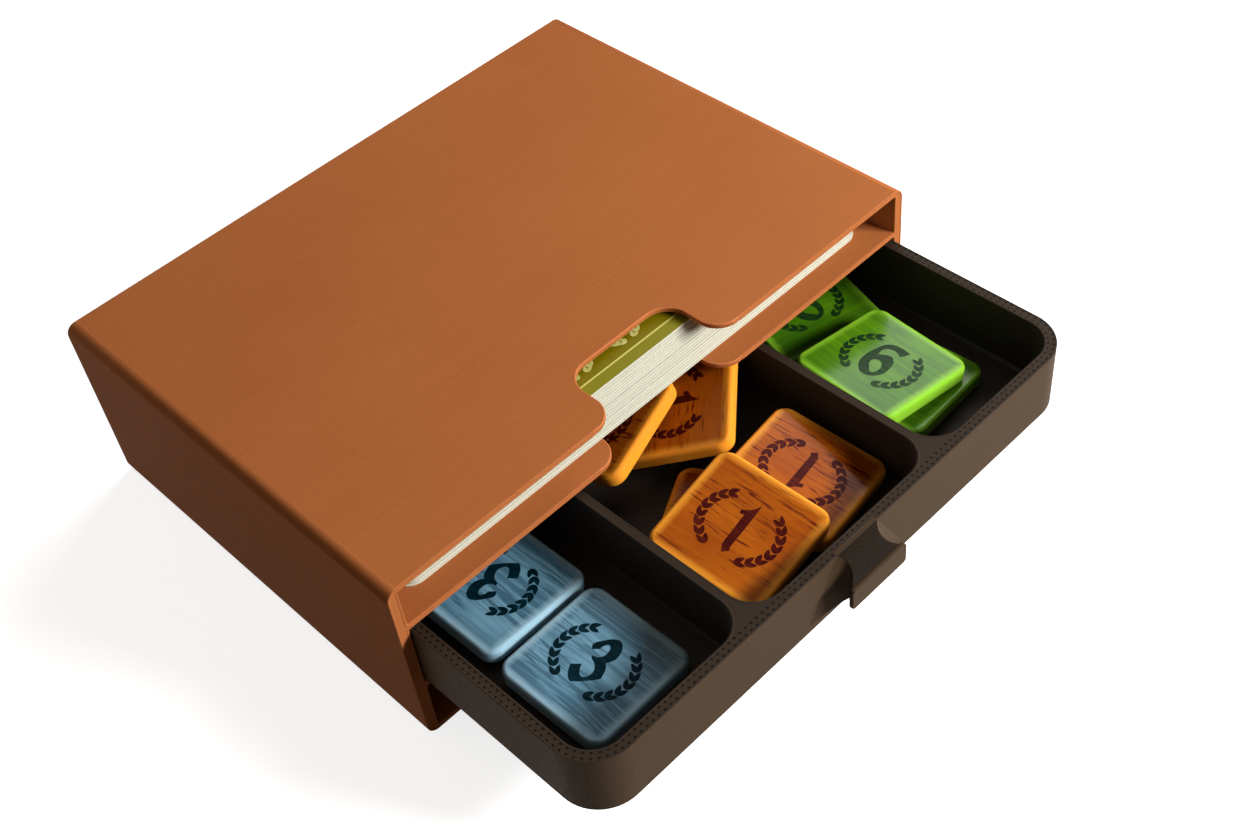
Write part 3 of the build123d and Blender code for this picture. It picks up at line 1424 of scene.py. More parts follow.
@dataclass
class Drawer:
    """The printed drawer: tray, dividers, the beads of its rim and its layered pull tab.

    Each step of the tab's ridge gives its share of a layer's height, and by how many millimetres it is
    drawn in.
    """

    box: Box
    beads: BeadTree
    pits: PitTree
    wall_finish: bpy.types.Material
    rim_painted_shade: bpy.types.Material
    pocket_painted_shade: bpy.types.Material
    pit_painted_shade: bpy.types.Material
    tab_reach_mm: float = 4.5
    wall_mm: float = 2.0
    floor_mm: float = 1.0
    divider_mm: float = 1.6
    corner_mm: float = 7.5
    middle_pocket_mm: float = 40.9
    pocket_round_mm: float = 0.5
    foot_mm: float = 0.4
    bead_mm: float = 0.42
    layer_mm: float = 0.2
    bead_rise_mm: float = 0.05
    beads_apart: float = 0.9
    divider_sunk_mm: float = 0.02
    pit_spacing_mm: float = 1.19
    pit_radius_mm: float = 0.26
    pit_lift_mm: float = 0.006
    pit_row_inset: float = 1.28
    tab_layer_mm: float = 0.24
    neck_root: float = 0.4
    neck_least_mm: float = 0.02
    ridge: tuple[Point, ...] = ((0.04, 0.09), (0.22, 0.03), (0.5, 0.0), (0.78, 0.03), (0.96, 0.09))
    lip_width_mm: float = 12.7
    lip_height_mm: float = 4.3
    lip_thickness_mm: float = 0.8
    lip_below_neck_mm: float = 0.7
    lip_corner_mm: float = 0.45
    lip_soft_mm: float = 0.2
    waist_mm: float = 6.8
    width_at_lip_mm: float = 11.0
    width_at_rim_mm: float = 9.2
    width_at_foot_mm: float = 22.0

    WALL, INNER, RIM = range(3)

    @property
    def front(self) -> float:
        """The front wall's outer face."""
        return self.box.low.y + self.tab_reach_mm * MM

    @property
    def centre(self) -> Point:
        """The tray's middle in plan."""
        return (self.box.middle.x, (self.front + self.box.high.y) / 2)

    @property
    def length(self) -> float:
        """The tray's length."""
        return self.box.high.y - self.front

    @property
    def rim(self) -> float:
        """The rim's height."""
        return self.box.high.z

    @property
    def neck_reach(self) -> float:
        """The distance from the front wall to the lip."""
        return (self.tab_reach_mm - self.lip_thickness_mm) * MM

    @property
    def lip_top(self) -> float:
        """The height of the lip's upper edge."""
        return self.rim - self.neck_reach

    @property
    def lip_bottom(self) -> float:
        """The height of the lip's lower edge."""
        return self.lip_top - self.lip_height_mm * MM

    def outline(self, inset: float) -> list[Point]:
        """Return the tray's outline, drawn in by a distance in metres."""
        width, length = self.box.size.x - 2 * inset, self.length - 2 * inset
        return rounded_rectangle(self.centre, width, length, self.corner_mm * MM - inset, 14)

    def pockets(self, grow: float) -> list[list[Point]]:
        """Return the three pockets' outlines, from left to right.

        Args:
            grow: how far each is drawn larger, in metres.

        Returns:
            The outlines.
        """
        middle = self.middle_pocket_mm * MM
        side = (self.box.size.x - middle) / 2 - (self.wall_mm + self.divider_mm) * MM
        away = middle / 2 + self.divider_mm * MM + side / 2
        radius = (self.corner_mm - self.wall_mm) * MM + grow
        length = self.length - 2 * self.wall_mm * MM + 2 * grow
        result = []
        for x, width in ((-away, side), (0.0, middle), (away, side)):
            place = (self.centre[0] + x, self.centre[1])
            result.append(rounded_rectangle(place, width + 2 * grow, length, radius, 12))
        return result

    def tray(self) -> bpy.types.Mesh:
        """Make the tray, with its rim set down by what the edge beads stand proud.

        Returns:
            The tray's mesh.
        """
        mesh = mesh_from("drawer_tray", self.fill_tray)
        smooth_by_angle(mesh, 35)
        for finish in (self.wall_finish, self.pocket_painted_shade, self.rim_painted_shade):
            mesh.materials.append(finish)
        return mesh

    def fill_tray(self, work: bmesh.types.BMesh) -> None:
        """Add the tray's faces to a working mesh.

        Args:
            work: the working mesh.
        """
        top = self.rim - self.bead_rise_mm * MM
        bottom = self.box.low.z
        floor = bottom + self.floor_mm * MM
        foot = self.foot_mm * MM
        rounding = self.pocket_round_mm * MM
        sole = add_ring(work, in_plan(self.outline(foot), bottom))
        heel = add_ring(work, in_plan(self.outline(0.0), bottom + foot))
        outer_rim = add_ring(work, in_plan(self.outline(0.0), top))
        work.faces.new(sole)
        bridge(work, sole, heel)
        bridge(work, heel, outer_rim)
        rim_edges = self.ring_edges(work, outer_rim)
        # The pockets' walls and floors take the darker pocket colour, which paints the shade inside them.
        for at_wall, at_floor in zip(self.pockets(0.0), self.pockets(-rounding)):
            upper = add_ring(work, in_plan(at_wall, top))
            lower = add_ring(work, in_plan(at_wall, floor + rounding))
            ground = add_ring(work, in_plan(at_floor, floor))
            bridge(work, upper, lower, self.INNER)
            bridge(work, lower, ground, self.INNER)
            work.faces.new(ground).material_index = self.INNER
            rim_edges += self.ring_edges(work, upper)
        filled = bmesh.ops.triangle_fill(work, use_beauty=True, use_dissolve=False, edges=rim_edges)
        for element in filled["geom"]:
            if isinstance(element, bmesh.types.BMFace):
                element.material_index = self.RIM
        bmesh.ops.recalc_face_normals(work, faces=work.faces)

    @staticmethod
    def ring_edges(work: bmesh.types.BMesh, ring: Sequence[bmesh.types.BMVert]) -> list[bmesh.types.BMEdge]:
        """Return the edges round a ring of vertices."""
        return [work.edges.get((vert, ring[(i + 1) % len(ring)])) for i, vert in enumerate(ring)]

    def rim_beads(self) -> bpy.types.Mesh:
        """Make the rim's last layer: beads along every edge and divider, and near-black discs in the outer
        wall that paint the shade of its pits.

        Returns:
            The layer's mesh.
        """
        height = self.rim - self.layer_mm * MM / 2
        bead = self.bead_mm * MM
        edges: list[Course] = [(in_plan(self.outline(bead / 2), height), True)]
        edges += [(in_plan(ring, height), True) for ring in self.pockets(bead / 2)]
        reach = self.length / 2 - (self.wall_mm + self.corner_mm / 2) * MM
        away = (self.middle_pocket_mm + self.divider_mm) * MM / 2
        aside = self.beads_apart * bead / 2
        for x in (-away - aside, -away + aside, away - aside, away + aside):
            ends = [(self.centre[0] + x, self.centre[1] + y) for y in (-reach, reach)]
            edges.append((in_plan(ends, height - self.divider_sunk_mm * MM), False))
        beads = self.beads.lay("rim_edges", edges, bead, self.layer_mm * MM, Axis.ALONG_Z, self.rim_painted_shade)

        level = self.rim - (self.bead_rise_mm - self.pit_lift_mm) * MM
        inset = self.pit_row_inset * bead
        rows = [(in_plan(self.outline(depth), level), True) for depth in (inset, self.wall_mm * MM - inset)]
        spacing = self.pit_spacing_mm * MM
        pits = self.pits.punch("rim_pits", rows, spacing, self.pit_radius_mm * MM, self.pit_painted_shade)
        return join_meshes("rim_beads", [beads, pits])

    def neck_half(self, reach: float, share: float) -> float:
        """Return the neck's half width in metres.

        Args:
            reach: the distance in front of the wall.
            share: 0 at the neck's foot and 1 at its top.

        Returns:
            The half width.
        """
        far = max(0.0, reach / self.neck_reach)
        near = 1 - far
        to_lip = (self.width_at_lip_mm - self.waist_mm) * far**3
        at_top = self.waist_mm + to_lip + (self.width_at_rim_mm - self.waist_mm) * near**4
        at_foot = self.waist_mm + to_lip + (self.width_at_foot_mm - self.waist_mm) * near**3
        return (at_foot + (at_top - at_foot) * share) * MM / 2

    def neck(self) -> bpy.types.Mesh:
        """Make the neck as one skin, with a rounded ridge for each printed layer and a groove between, whose
        front face is painted near-black as shade.

        Returns:
            The neck's mesh.
        """
        foot = self.lip_bottom + self.lip_below_neck_mm * MM - self.neck_reach
        count = round((self.rim - foot) / (self.tab_layer_mm * MM))
        layer = (self.rim - foot) / count

        def build(work: bmesh.types.BMesh) -> None:
            """Add the neck's rings from the foot up, and the bands between them."""
            rings = []
            for i in range(count):
                middle = foot + (i + 0.5) * layer
                reach = min(self.neck_reach, self.rim - middle, middle - foot)
                for rise, draw in self.ridge:
                    height = foot + (i + rise) * layer
                    ring = self.neck_ring(reach - draw * MM, height, foot)
                    rings.append(add_ring(work, in_plan(((x, self.front - y) for x, y in ring), height)))
            for end in (rings[0], rings[-1]):
                work.faces.new(end)
            for number, (lower, upper) in enumerate(zip(rings, rings[1:])):
                band = bridge(work, lower, upper)
                on_ridge = number % len(self.ridge) in (1, 2)
                # The groove's front face takes the near-black pit colour: painted shade in the crease.
                if not on_ridge:
                    front_face = band[len(band) // 2 - 1]
                    front_face.material_index = 1
            bmesh.ops.recalc_face_normals(work, faces=work.faces)

        mesh = mesh_from("tab_neck", build)
        smooth_by_angle(mesh, 40)
        mesh.materials.append(self.wall_finish)
        mesh.materials.append(self.pit_painted_shade)
        return mesh

    def neck_ring(self, end: float, height: float, foot: float, steps: int = 8) -> list[Point]:
        """Return the neck's outline in plan, as distances across and in front of the wall.

        Args:
            end: how far the outline reaches in front of the wall.
            height: the height at which it lies.
            foot: the height of the neck's foot.
            steps: how many chords each side has in front of the wall.

        Returns:
            The outline's points, the first and last of which lie inside the wall.
        """
        root = -self.neck_root * self.wall_mm * MM
        least = self.neck_least_mm * MM
        right = []
        for reach in [root] + [max(end, least) * i / steps for i in range(steps + 1)]:
            low = foot + max(0.0, reach)
            high = self.rim - max(0.0, reach)
            share = (height - low) / max(high - low, MM)
            right.append((self.neck_half(reach, min(1.0, max(0.0, share))), reach))
        return right + [(-x, y) for x, y in reversed(right)]

    def lip(self) -> bpy.types.Mesh:
        """Make the flat lip at the end of the tab, with its corners cut off.

        Returns:
            The lip's mesh.
        """
        low, high = self.lip_bottom, self.lip_top
        half = self.lip_width_mm * MM / 2
        corner = self.lip_corner_mm * MM
        lower = [(-half, low + corner), (corner - half, low), (half - corner, low), (half, low + corner)]
        upper = [(x, low + high - z) for x, z in reversed(lower)]
        outline = stand_up([*lower, *upper], self.box.low.y)
        body = prism_object("tab_lip", outline, Vector((0, self.lip_thickness_mm * MM, 0)))
        mesh = softened(body, self.lip_soft_mm * MM, 3, 25, (self.wall_finish,))
        smooth_by_angle(mesh, 35)
        return mesh

    def make(self) -> bpy.types.Object:
        """Make the finished drawer.

        Returns:
            The drawer.
        """
        parts = [self.tray(), self.rim_beads(), self.neck(), self.lip()]
        piece = add_object("drawer_tray", join_meshes("drawer_tray", parts))
        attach(piece, "drawer")
        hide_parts("drawer")
        return piece


@dataclass(frozen=True)
class InkShape:
    """A printed mark, as closed outlines in millimetres about its own middle.

    Each corner is a place across and up, and whether the outline turns sharply there.
    """

    outlines: tuple[tuple[tuple[float, float, bool], ...], ...]

    def mesh(self, name: str, thickness: float) -> bpy.types.Mesh:
        """Return the mark as a filled mesh.

        Args:
            name: the mesh's name.
            thickness: how thick it is, in millimetres.

        Returns:
            The mesh.
        """
        curve = bpy.data.curves.new(name, "CURVE")
        curve.dimensions = "2D"
        curve.fill_mode = "BOTH"
        curve.extrude = thickness / 2
        curve.resolution_u = 4
        for outline in self.outlines:
            spline = curve.splines.new("BEZIER")
            spline.bezier_points.add(len(outline) - 1)
            spline.use_cyclic_u = True
            for point, (across, up, sharp) in zip(spline.bezier_points, outline):
                point.co = (across, up, 0)
                point.handle_left_type = point.handle_right_type = "VECTOR" if sharp else "AUTO"
        return take_mesh(add_object(name, curve), name)


NUMERALS = {
    "1": InkShape((
        (
            (0.52, 5.17, True), (0.62, 3.9, False), (0.79, -3.8, True), (1.12, -4.3, True),
            (0.15, -5.15, True), (-0.56, -3.95, True), (-0.8, 2.22, True), (-1.53, 1.98, True),
            (-1.72, 2.7, True), (-0.56, 3.41, False), (0.22, 4.4, False),
        ),
    )),
    "3": InkShape((
        (
            (-2.4, 2.13, False), (-1.73, 3.44, False), (-0.14, 5.07, False), (0.54, 5.13, False),
            (1.37, 4.57, False), (2.08, 2.6, False), (1.85, 1.63, False), (1.41, 0.86, True),
            (2.0, 0.3, False), (2.76, -1.55, True), (2.52, -1.99, True), (0.65, -4.03, False),
            (-0.38, -4.89, True), (-0.93, -4.71, False), (-1.73, -3.98, False), (-2.52, -2.67, True),
            (-1.21, -1.54, True), (-0.85, -2.31, False), (0.3, -3.17, False), (1.09, -1.95, False),
            (0.5, -0.55, False), (-0.85, 0.14, True), (-1.09, 0.54, True), (-0.06, 0.98, False),
            (0.38, 2.3, False), (-0.3, 3.53, False), (-0.98, 2.7, False), (-1.01, 2.13, True),
            (-1.92, 1.31, True),
        ),
    )),
    "6": InkShape((
        (
            (2.2, 4.88, True), (0.02, 4.95, False), (-1.96, 4.1, False), (-2.76, 1.31, False),
            (-2.76, -1.56, False), (-1.9, -3.5, False), (0.02, -4.63, False), (2.08, -3.28, False),
            (2.32, -0.33, False), (1.21, 1.72, False), (0.42, 2.05, False), (-1.5, 0.85, True),
            (-1.65, 2.54, False), (-0.3, 3.57, False), (1.53, 3.03, True),
        ),
        (
            (-0.3, -0.2, False), (0.7, -0.6, False), (1.29, -2.4, False), (0.81, -3.4, False),
            (-0.1, -2.8, False), (-1.17, -0.94, False),
        ),
    )),
}


@dataclass
class Wreath:
    """Two leafy branches that curve up either side of a numeral, with their leaves in pairs."""

    tree: BranchTree
    radius_mm: float = 5.5
    apart_mm: float = 1.05
    leaves: int = 8
    lowest_angle: float = -64.0
    sweep: float = 118.0
    leaf_length_mm: float = 1.88
    leaf_half_width_mm: float = 0.84
    leaf_lean: float = 8.0

    def leaf_pair(self, side: int) -> InkShape:
        """Return one pair of leaves, joined at a point below and apart above, with the outer one longer.

        Args:
            side: 1 where the outer side is to the right and -1 where it is to the left.

        Returns:
            The outline about its middle, leaning inwards.
        """
        w = self.leaf_half_width_mm
        h = self.leaf_length_mm
        right = [(0.0, 0.0, True), (0.6 * w, 0.13 * h, False), (0.98 * w, 0.45 * h, False)]
        right += [(0.94 * w, 1.0 * h, True), (0.46 * w, 0.84 * h, False), (0.0, 0.55 * h, True)]
        left = [(-0.44 * w, 0.8 * h, False), (-0.96 * w, 0.92 * h, True), (-0.96 * w, 0.42 * h, False)]
        left += [(-0.58 * w, 0.12 * h, False)]
        lean = Matrix.Rotation(math.radians(side * self.leaf_lean), 2)
        corners = []
        for x, y, sharp in right + left:
            place = lean @ Vector((side * x, y - h / 2))
            corners.append((place.x, place.y, sharp))
        return InkShape((tuple(corners),))

    def branch(self, side: int, thickness: float, ink: bpy.types.Material) -> bpy.types.Mesh:
        """Return one branch.

        Args:
            side: 1 for the right branch and -1 for the left one.
            thickness: the mark's thickness in millimetres.
            ink: the mark's material.

        Returns:
            The branch's mesh, in millimetres.
        """
        leaf = add_object("leaf_pair", self.leaf_pair(side).mesh("leaf_pair", thickness))
        start = self.lowest_angle if side > 0 else 180 - self.lowest_angle
        values = {
            "Arc Radius": self.radius_mm,
            "Start Angle": math.radians(start),
            "Sweep Angle": math.radians(side * self.sweep),
            "Leaf Count": self.leaves,
            "Finish": ink,
        }
        mesh = self.tree.run(leaf, "branch", values)
        mesh.transform(Matrix.Translation((side * self.apart_mm, 0, 0)))
        return mesh

    def marks(self, numeral: str, lift: float, ink: bpy.types.Material) -> bpy.types.Mesh:
        """Return a numeral between its two branches, set into a tile's upper face.

        Args:
            numeral: the numeral's name in the table.
            lift: how far the marks stand above the face, in millimetres.
            ink: their material.

        Returns:
            The marks in the tile's own millimetres, with the numeral's top towards its X.
        """
        thickness = 3 * lift
        glyph = NUMERALS[numeral].mesh("numeral", thickness)
        glyph.materials.clear()
        glyph.materials.append(ink)
        mesh = join_meshes("marks", [glyph, *(self.branch(side, thickness, ink) for side in (1, -1))])
        reshape(mesh, close_up)
        lowered = Matrix.Translation((0, 0, lift - thickness / 2))
        mesh.transform(lowered @ Matrix.Rotation(math.radians(-90), 4, "Z"))
        return mesh


@dataclass
class CardPattern:
    """Rows of small wreaths over a card's back, every other row moved by half a step."""

    tree: RowsTree
    wreath: Wreath
    columns: int = 9
    rows: int = 6
    step_mm: float = 10.6
    across_mm: float = 2.6
    along_mm: float = -2.44

    def lay(self, ink: bpy.types.Material) -> bpy.types.Mesh:
        """Return the flat pattern in metres, about the card's middle.

        Args:
            ink: the pattern's material.

        Returns:
            The pattern's mesh, facing up.
        """
        branches = [self.wreath.branch(side, 0.0, ink) for side in (1, -1)]
        shape = add_object("card_wreath", join_meshes("card_wreath", branches))
        values = {"Columns": self.columns, "Rows": self.rows, "Step": self.step_mm, "Finish": ink}
        mesh = self.tree.run(shape, "card_pattern", values)
        first_column = self.across_mm - (self.columns // 2) * self.step_mm
        first_row = self.along_mm - (self.rows - 1) * self.step_mm / 2
        mesh.transform(Matrix.Scale(MM, 4) @ Matrix.Translation((first_column, first_row, 0.0)))
        return mesh


@dataclass
class Deck:
    """The cards in the slot, one piece each, with the printed back showing on the top one."""

    stock: bpy.types.Material
    face: CardFace
    pattern: CardPattern
    ink: bpy.types.Material
    count: int = 24
    corner_mm: float = 3.5
    edge_mm: float = 0.015
    print_lift_mm: float = 0.01

    def fill_card(self, work: bmesh.types.BMesh, box: Box, upper_finish: int) -> None:
        """Add a card's faces to a working mesh, with its edges just broken.

        Args:
            work: the working mesh.
            box: the card's box.
            upper_finish: the upper face's material, by its number.
        """
        edge = self.edge_mm * MM
        centre = (box.middle.x, box.middle.y)
        heights = (box.low.z, box.low.z + edge, box.high.z - edge, box.high.z)
        rings = []
        for inset, height in zip((edge, 0.0, 0.0, edge), heights):
            width, length = box.size.x - 2 * inset, box.size.y - 2 * inset
            ring = rounded_rectangle(centre, width, length, self.corner_mm * MM - inset)
            rings.append(add_ring(work, in_plan(ring, height)))
        work.faces.new(rings[0])
        upper = work.faces.new(rings[-1])
        for lower_ring, upper_ring in zip(rings, rings[1:]):
            bridge(work, lower_ring, upper_ring)
        upper.material_index = upper_finish
        bmesh.ops.recalc_face_normals(work, faces=work.faces)

    def card(self, number: int) -> bpy.types.Object:
        """Make one card.

        Args:
            number: the card's number from the bottom, starting at 1.

        Returns:
            The finished card.
        """
        node = f"card_{number:02d}"
        box = Box.of_node(node)
        top = number == self.count
        mesh = mesh_from(node, lambda work: self.fill_card(work, box, int(top)))
        mesh.materials.append(self.stock)
        smooth_by_angle(mesh, 50)
        if top:
            mesh.materials.append(self.face.build(box))
            printed = self.pattern.lay(self.ink)
            height = box.high.z + self.print_lift_mm * MM
            printed.transform(Matrix.Translation((box.middle.x, box.middle.y, height)))
            mesh = join_meshes(node, [mesh, printed])
        piece = add_object(f"{node}_cut", mesh)
        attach(piece, "top_card" if top else "deck")
        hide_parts(node)
        return piece

    def make(self) -> list[bpy.types.Object]:
        """Make all the cards."""
        return [self.card(number) for number in range(1, self.count + 1)]


@dataclass(frozen=True)
class Tint:
    """The finish of one colour of tile and of its printed marks."""

    resin: ResinTile
    mark: PrintedMark
    slot: Slot
    numeral: str


@dataclass(frozen=True)
class TilePose:
    """How one tile lies: its node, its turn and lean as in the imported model, and how its numeral is turned.

    The rise is the height by which it leans, as a share of its thickness.
    """

    node: str
    turn: float
    rise: float
    heading: float
    seed: float
    spin: float = 0.0

    def matrix(self, side_mm: float, thickness_mm: float) -> Matrix:
        """Return the tile's turn, to which its place is added from the node's box.

        Args:
            side_mm: the tile's side.
            thickness_mm: the tile's thickness.

        Returns:
            The rotation as a 4 by 4 matrix.
        """
        lean = math.asin(self.rise * thickness_mm / side_mm)
        heading = math.radians(self.heading)
        tip = Vector((-math.sin(heading), math.cos(heading), 0))
        return Matrix.Rotation(lean, 4, tip) @ Matrix.Rotation(math.radians(self.turn + self.spin), 4, "Z")


@dataclass
class Tile:
    """One game tile: a soft-edged resin square with a numeral between two leafy branches."""

    pose: TilePose
    tint: Tint
    resin: bpy.types.Material
    side_mm: float = 21.3
    thickness_mm: float = 3.0
    corner_mm: float = 2.6
    edge_mm: float = 0.75
    edge_steps: int = 6
    mark_lift_mm: float = 0.012

    def placed(self) -> Matrix:
        """Work out where the tile lies.

        Returns:
            The matrix from the tile's own millimetres, counted from its upper face's middle, to the frame.
        """
        box = Box.of_node(self.pose.node)
        turn = self.pose.matrix(self.side_mm, self.thickness_mm)
        body_middle = turn @ Vector((0, 0, -self.thickness_mm / 2 * MM))
        return Matrix.Translation(box.middle - body_middle) @ turn @ Matrix.Scale(MM, 4)

    def profile(self) -> list[Point]:
        """Return the rounded rims' steps from the lower face to the upper one.

        Returns:
            How far each step is drawn in, and its height, in millimetres.
        """
        edge = self.edge_mm
        turns = [math.radians(90 * i / self.edge_steps) for i in range(self.edge_steps + 1)]
        foot = edge - self.thickness_mm
        lower = [(edge * (1 - math.sin(t)), foot - edge * math.cos(t)) for t in turns]
        upper = [(edge * (1 - math.cos(t)), -edge + edge * math.sin(t)) for t in turns]
        return lower + upper

    def fill_body(self, work: bmesh.types.BMesh) -> None:
        """Add the resin body's faces to a working mesh, in the tile's own millimetres.

        Args:
            work: the working mesh.
        """
        rings = []
        for inset, height in self.profile():
            width = self.side_mm - 2 * inset
            ring = rounded_rectangle((0, 0), width, width, self.corner_mm - inset)
            rings.append(add_ring(work, in_plan(ring, height)))
        work.faces.new(rings[0])
        work.faces.new(rings[-1])
        for lower, upper in zip(rings, rings[1:]):
            bridge(work, lower, upper)
        bmesh.ops.recalc_face_normals(work, faces=work.faces)

    def make(self, marks: bpy.types.Mesh) -> bpy.types.Object:
        """Make the finished tile.

        Args:
            marks: the numeral and leaves in the tile's own millimetres.

        Returns:
            The tile at its place.
        """
        body = mesh_from("tile", self.fill_body)
        smooth_by_angle(body, 60)
        body.materials.append(self.resin)
        mesh = join_meshes(self.pose.node + "_resin", [body, marks])
        place = mesh.attributes.new(PLACE_ATTRIBUTE, "FLOAT_VECTOR", "POINT")
        seed = mesh.attributes.new(SEED_ATTRIBUTE, "FLOAT_VECTOR", "POINT")
        for vertex in mesh.vertices:
            place.data[vertex.index].vector = vertex.co
            seed.data[vertex.index].vector = [self.pose.seed * step for step in SEED_STEP]
        mesh.transform(self.placed())
        piece = add_object(self.pose.node + "_resin", mesh)
        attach(piece, "drawer")
        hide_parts(self.pose.node)
        return piece


@dataclass(frozen=True)
class SoftBox:
    """A large plain lamp that shines at the object."""

    name: str
    direction: tuple[float, float, float]
    distance: float
    width: float
    height: float
    power: float

    def hang(self, target: Vector) -> None:
        """Put the lamp up.

        Args:
            target: the point that it faces.
        """
        lamp = bpy.data.lights.new(self.name, "AREA")
        lamp.shape = "RECTANGLE"
        lamp.size = self.width
        lamp.size_y = self.height
        lamp.energy = self.power
        holder = add_object(self.name, lamp)
        away = Vector(self.direction).normalized()
        holder.location = target + away * self.distance
        holder.rotation_euler = away.to_track_quat("Z", "Y").to_euler()


@dataclass
class Studio:
    """The pale floor, the soft lamps and the camera at the photograph's viewing angle."""

    camera_place: tuple[float, float, float] = (-0.1225, -0.18025, 0.2205)
    azimuth: float = 39.57
    elevation: float = 46.58
    roll: float = -7.64
    lens: float = 47.51
    lamps: tuple[SoftBox, ...] = (
        SoftBox("key_softbox", (0.44, -0.78, 0.45), 0.5, 0.22, 0.085, 3.75),
        SoftBox("right_softbox", (0.74, 0.28, 0.61), 0.5, 0.25, 0.18, 0.98),
        SoftBox("back_softbox", (-0.45, 0.85, 0.28), 0.7, 0.5, 0.3, 0.5),
    )
    ambient: float = 0.105
    ambient_tint: Colour = (1.0, 0.86, 0.7, 1.0)
    floor_size: float = 6.0
    floor_colour: Colour = (0.86, 0.86, 0.86, 1.0)
    floor_bounce: Colour = (0.05, 0.05, 0.05, 1.0)
    floor_glow: float = 0.8
    floor_roughness: float = 0.9
    floor_specular: float = 0.1

    def floor(self) -> None:
        """Lay the floor: pale to the camera and in reflections, and throwing little light back up."""
        half = self.floor_size / 2
        corners = in_plan(((-half, -half), (half, -half), (half, half), (-half, half)), 0.0)
        mesh = mesh_from("floor", lambda work: work.faces.new(add_ring(work, corners)))
        graph = MaterialGraph("floor_paint")
        bounce = graph.node("ShaderNodeLightPath").outputs["Is Diffuse Ray"]
        mesh.materials.append(graph.surface({
            "Base Color": graph.mix(bounce, self.floor_colour, self.floor_bounce),
            "Roughness": self.floor_roughness,
            "Specular IOR Level": self.floor_specular,
            "Emission Color": WHITE,
            "Emission Strength": graph.math("MULTIPLY", graph.seen(), self.floor_glow),
        }))
        add_object("floor", mesh)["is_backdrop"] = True

    def sky(self) -> None:
        """Light the room with a soft warm glow, under a white background for the camera and reflections."""
        world = bpy.data.worlds.new("room")
        world.use_nodes = True
        bpy.context.scene.world = world
        graph = NodeGraph(world.node_tree)
        glow = graph.tree.nodes["Background"]
        seen = graph.seen()
        graph.feed(glow.inputs["Color"], graph.mix(seen, self.ambient_tint, WHITE))
        graph.feed(glow.inputs["Strength"], graph.remap(seen, 0.0, 1.0, self.ambient, 1.0))

    def camera(self) -> None:
        """Set up the camera, turned and tilted from level and then rolled about its own axis."""
        turn = math.radians(self.azimuth)
        tilt = math.radians(self.elevation)
        lean = math.radians(self.roll)
        ahead = Vector((math.sin(turn) * math.cos(tilt), math.cos(turn) * math.cos(tilt), -math.sin(tilt)))
        level = Vector((math.cos(turn), -math.sin(turn), 0))
        over = level.cross(ahead)
        right = level * math.cos(lean) + over * math.sin(lean)
        up = over * math.cos(lean) - level * math.sin(lean)
        lens = bpy.data.cameras.new("camera")
        lens.lens = self.lens
        lens.sensor_width = 36
        lens.clip_start = 0.01
        holder = add_object("camera", lens)
        basis = Matrix((right, up, -ahead)).transposed().to_4x4()
        holder.matrix_world = Matrix.Translation(self.camera_place) @ basis
        bpy.context.scene.camera = holder

    def set_up(self, target: Vector) -> None:
        """Make the whole studio.

        Args:
            target: the point that the lamps face.
        """
        self.camera()
        self.floor()
        self.sky()
        for lamp in self.lamps:
            lamp.hang(target)
        bpy.context.scene.view_settings.view_transform = "Standard"


TINTS = {
    "blue": Tint(
        ResinTile(
            "blue_resin",
            face=srgb(112, 158, 182),
            wash=srgb(90, 136, 160),
            edge=srgb(158, 192, 208),
            grain=srgb(36, 72, 92),
            glow=(0.5, 0.8, 1.0),
            streaks=WoodGrain(1.2, 0.1, 0.7, 0.5, 0.62),
            gloss=0.16,
        ),
        PrintedMark("blue_ink", srgb(2, 24, 32), srgb(10, 46, 58)),
        Slot.TILE_BLUE,
        "3",
    ),
    "amber": Tint(
        ResinTile(
            "amber_resin",
            face=srgb(164, 78, 6),
            wash=srgb(144, 60, 2),
            edge=srgb(230, 150, 44),
            grain=srgb(92, 26, 4),
            glow=(1.0, 0.45, 0.1),
            streaks=WoodGrain(1.05, 0.032, 1.0, 0.3, 0.14),
            gloss=0.07,
        ),
        PrintedMark("amber_ink", srgb(58, 12, 10), srgb(88, 28, 14)),
        Slot.TILE_AMBER,
        "1",
    ),
    "green": Tint(
        ResinTile(
            "green_resin",
            face=srgb(82, 132, 8),
            wash=srgb(56, 106, 2),
            edge=srgb(132, 188, 46),
            grain=srgb(48, 92, 20),
            glow=(0.4, 1.0, 0.1),
            streaks=WoodGrain(0.9, 0.11, 0.5, 0.25, 0.5),
        ),
        PrintedMark("green_ink", srgb(18, 44, 16), srgb(38, 74, 26)),
        Slot.TILE_GREEN,
        "6",
    ),
}

TILE_POSES = (
    TilePose("tile_blue_front", 1.6, 0.27, -67.0, 1.0),
    TilePose("tile_blue_back", 1.0, 0.37, -17.0, 2.0, spin=180.0),
    TilePose("tile_amber_floor", 28.0, 0.0, 0.0, 3.0),
    TilePose("tile_amber_right", 8.8, 1.29, -57.2, 4.0, spin=180.0),
    TilePose("tile_amber_front", 6.5, 1.36, -112.6, 5.0),
    TilePose("tile_amber_behind", -50.8, 2.25, 155.5, 6.0),
    TilePose("tile_amber_left", 12.4, 2.20, 140.0, 7.0),
    TilePose("tile_green_floor", 4.5, 0.47, -4.3, 8.0),
    TilePose("tile_green_front", -4.0, 0.78, -5.2, 9.0),
    TilePose("tile_green_back", -16.5, 0.0, 0.0, 10.0, spin=90.0),
)


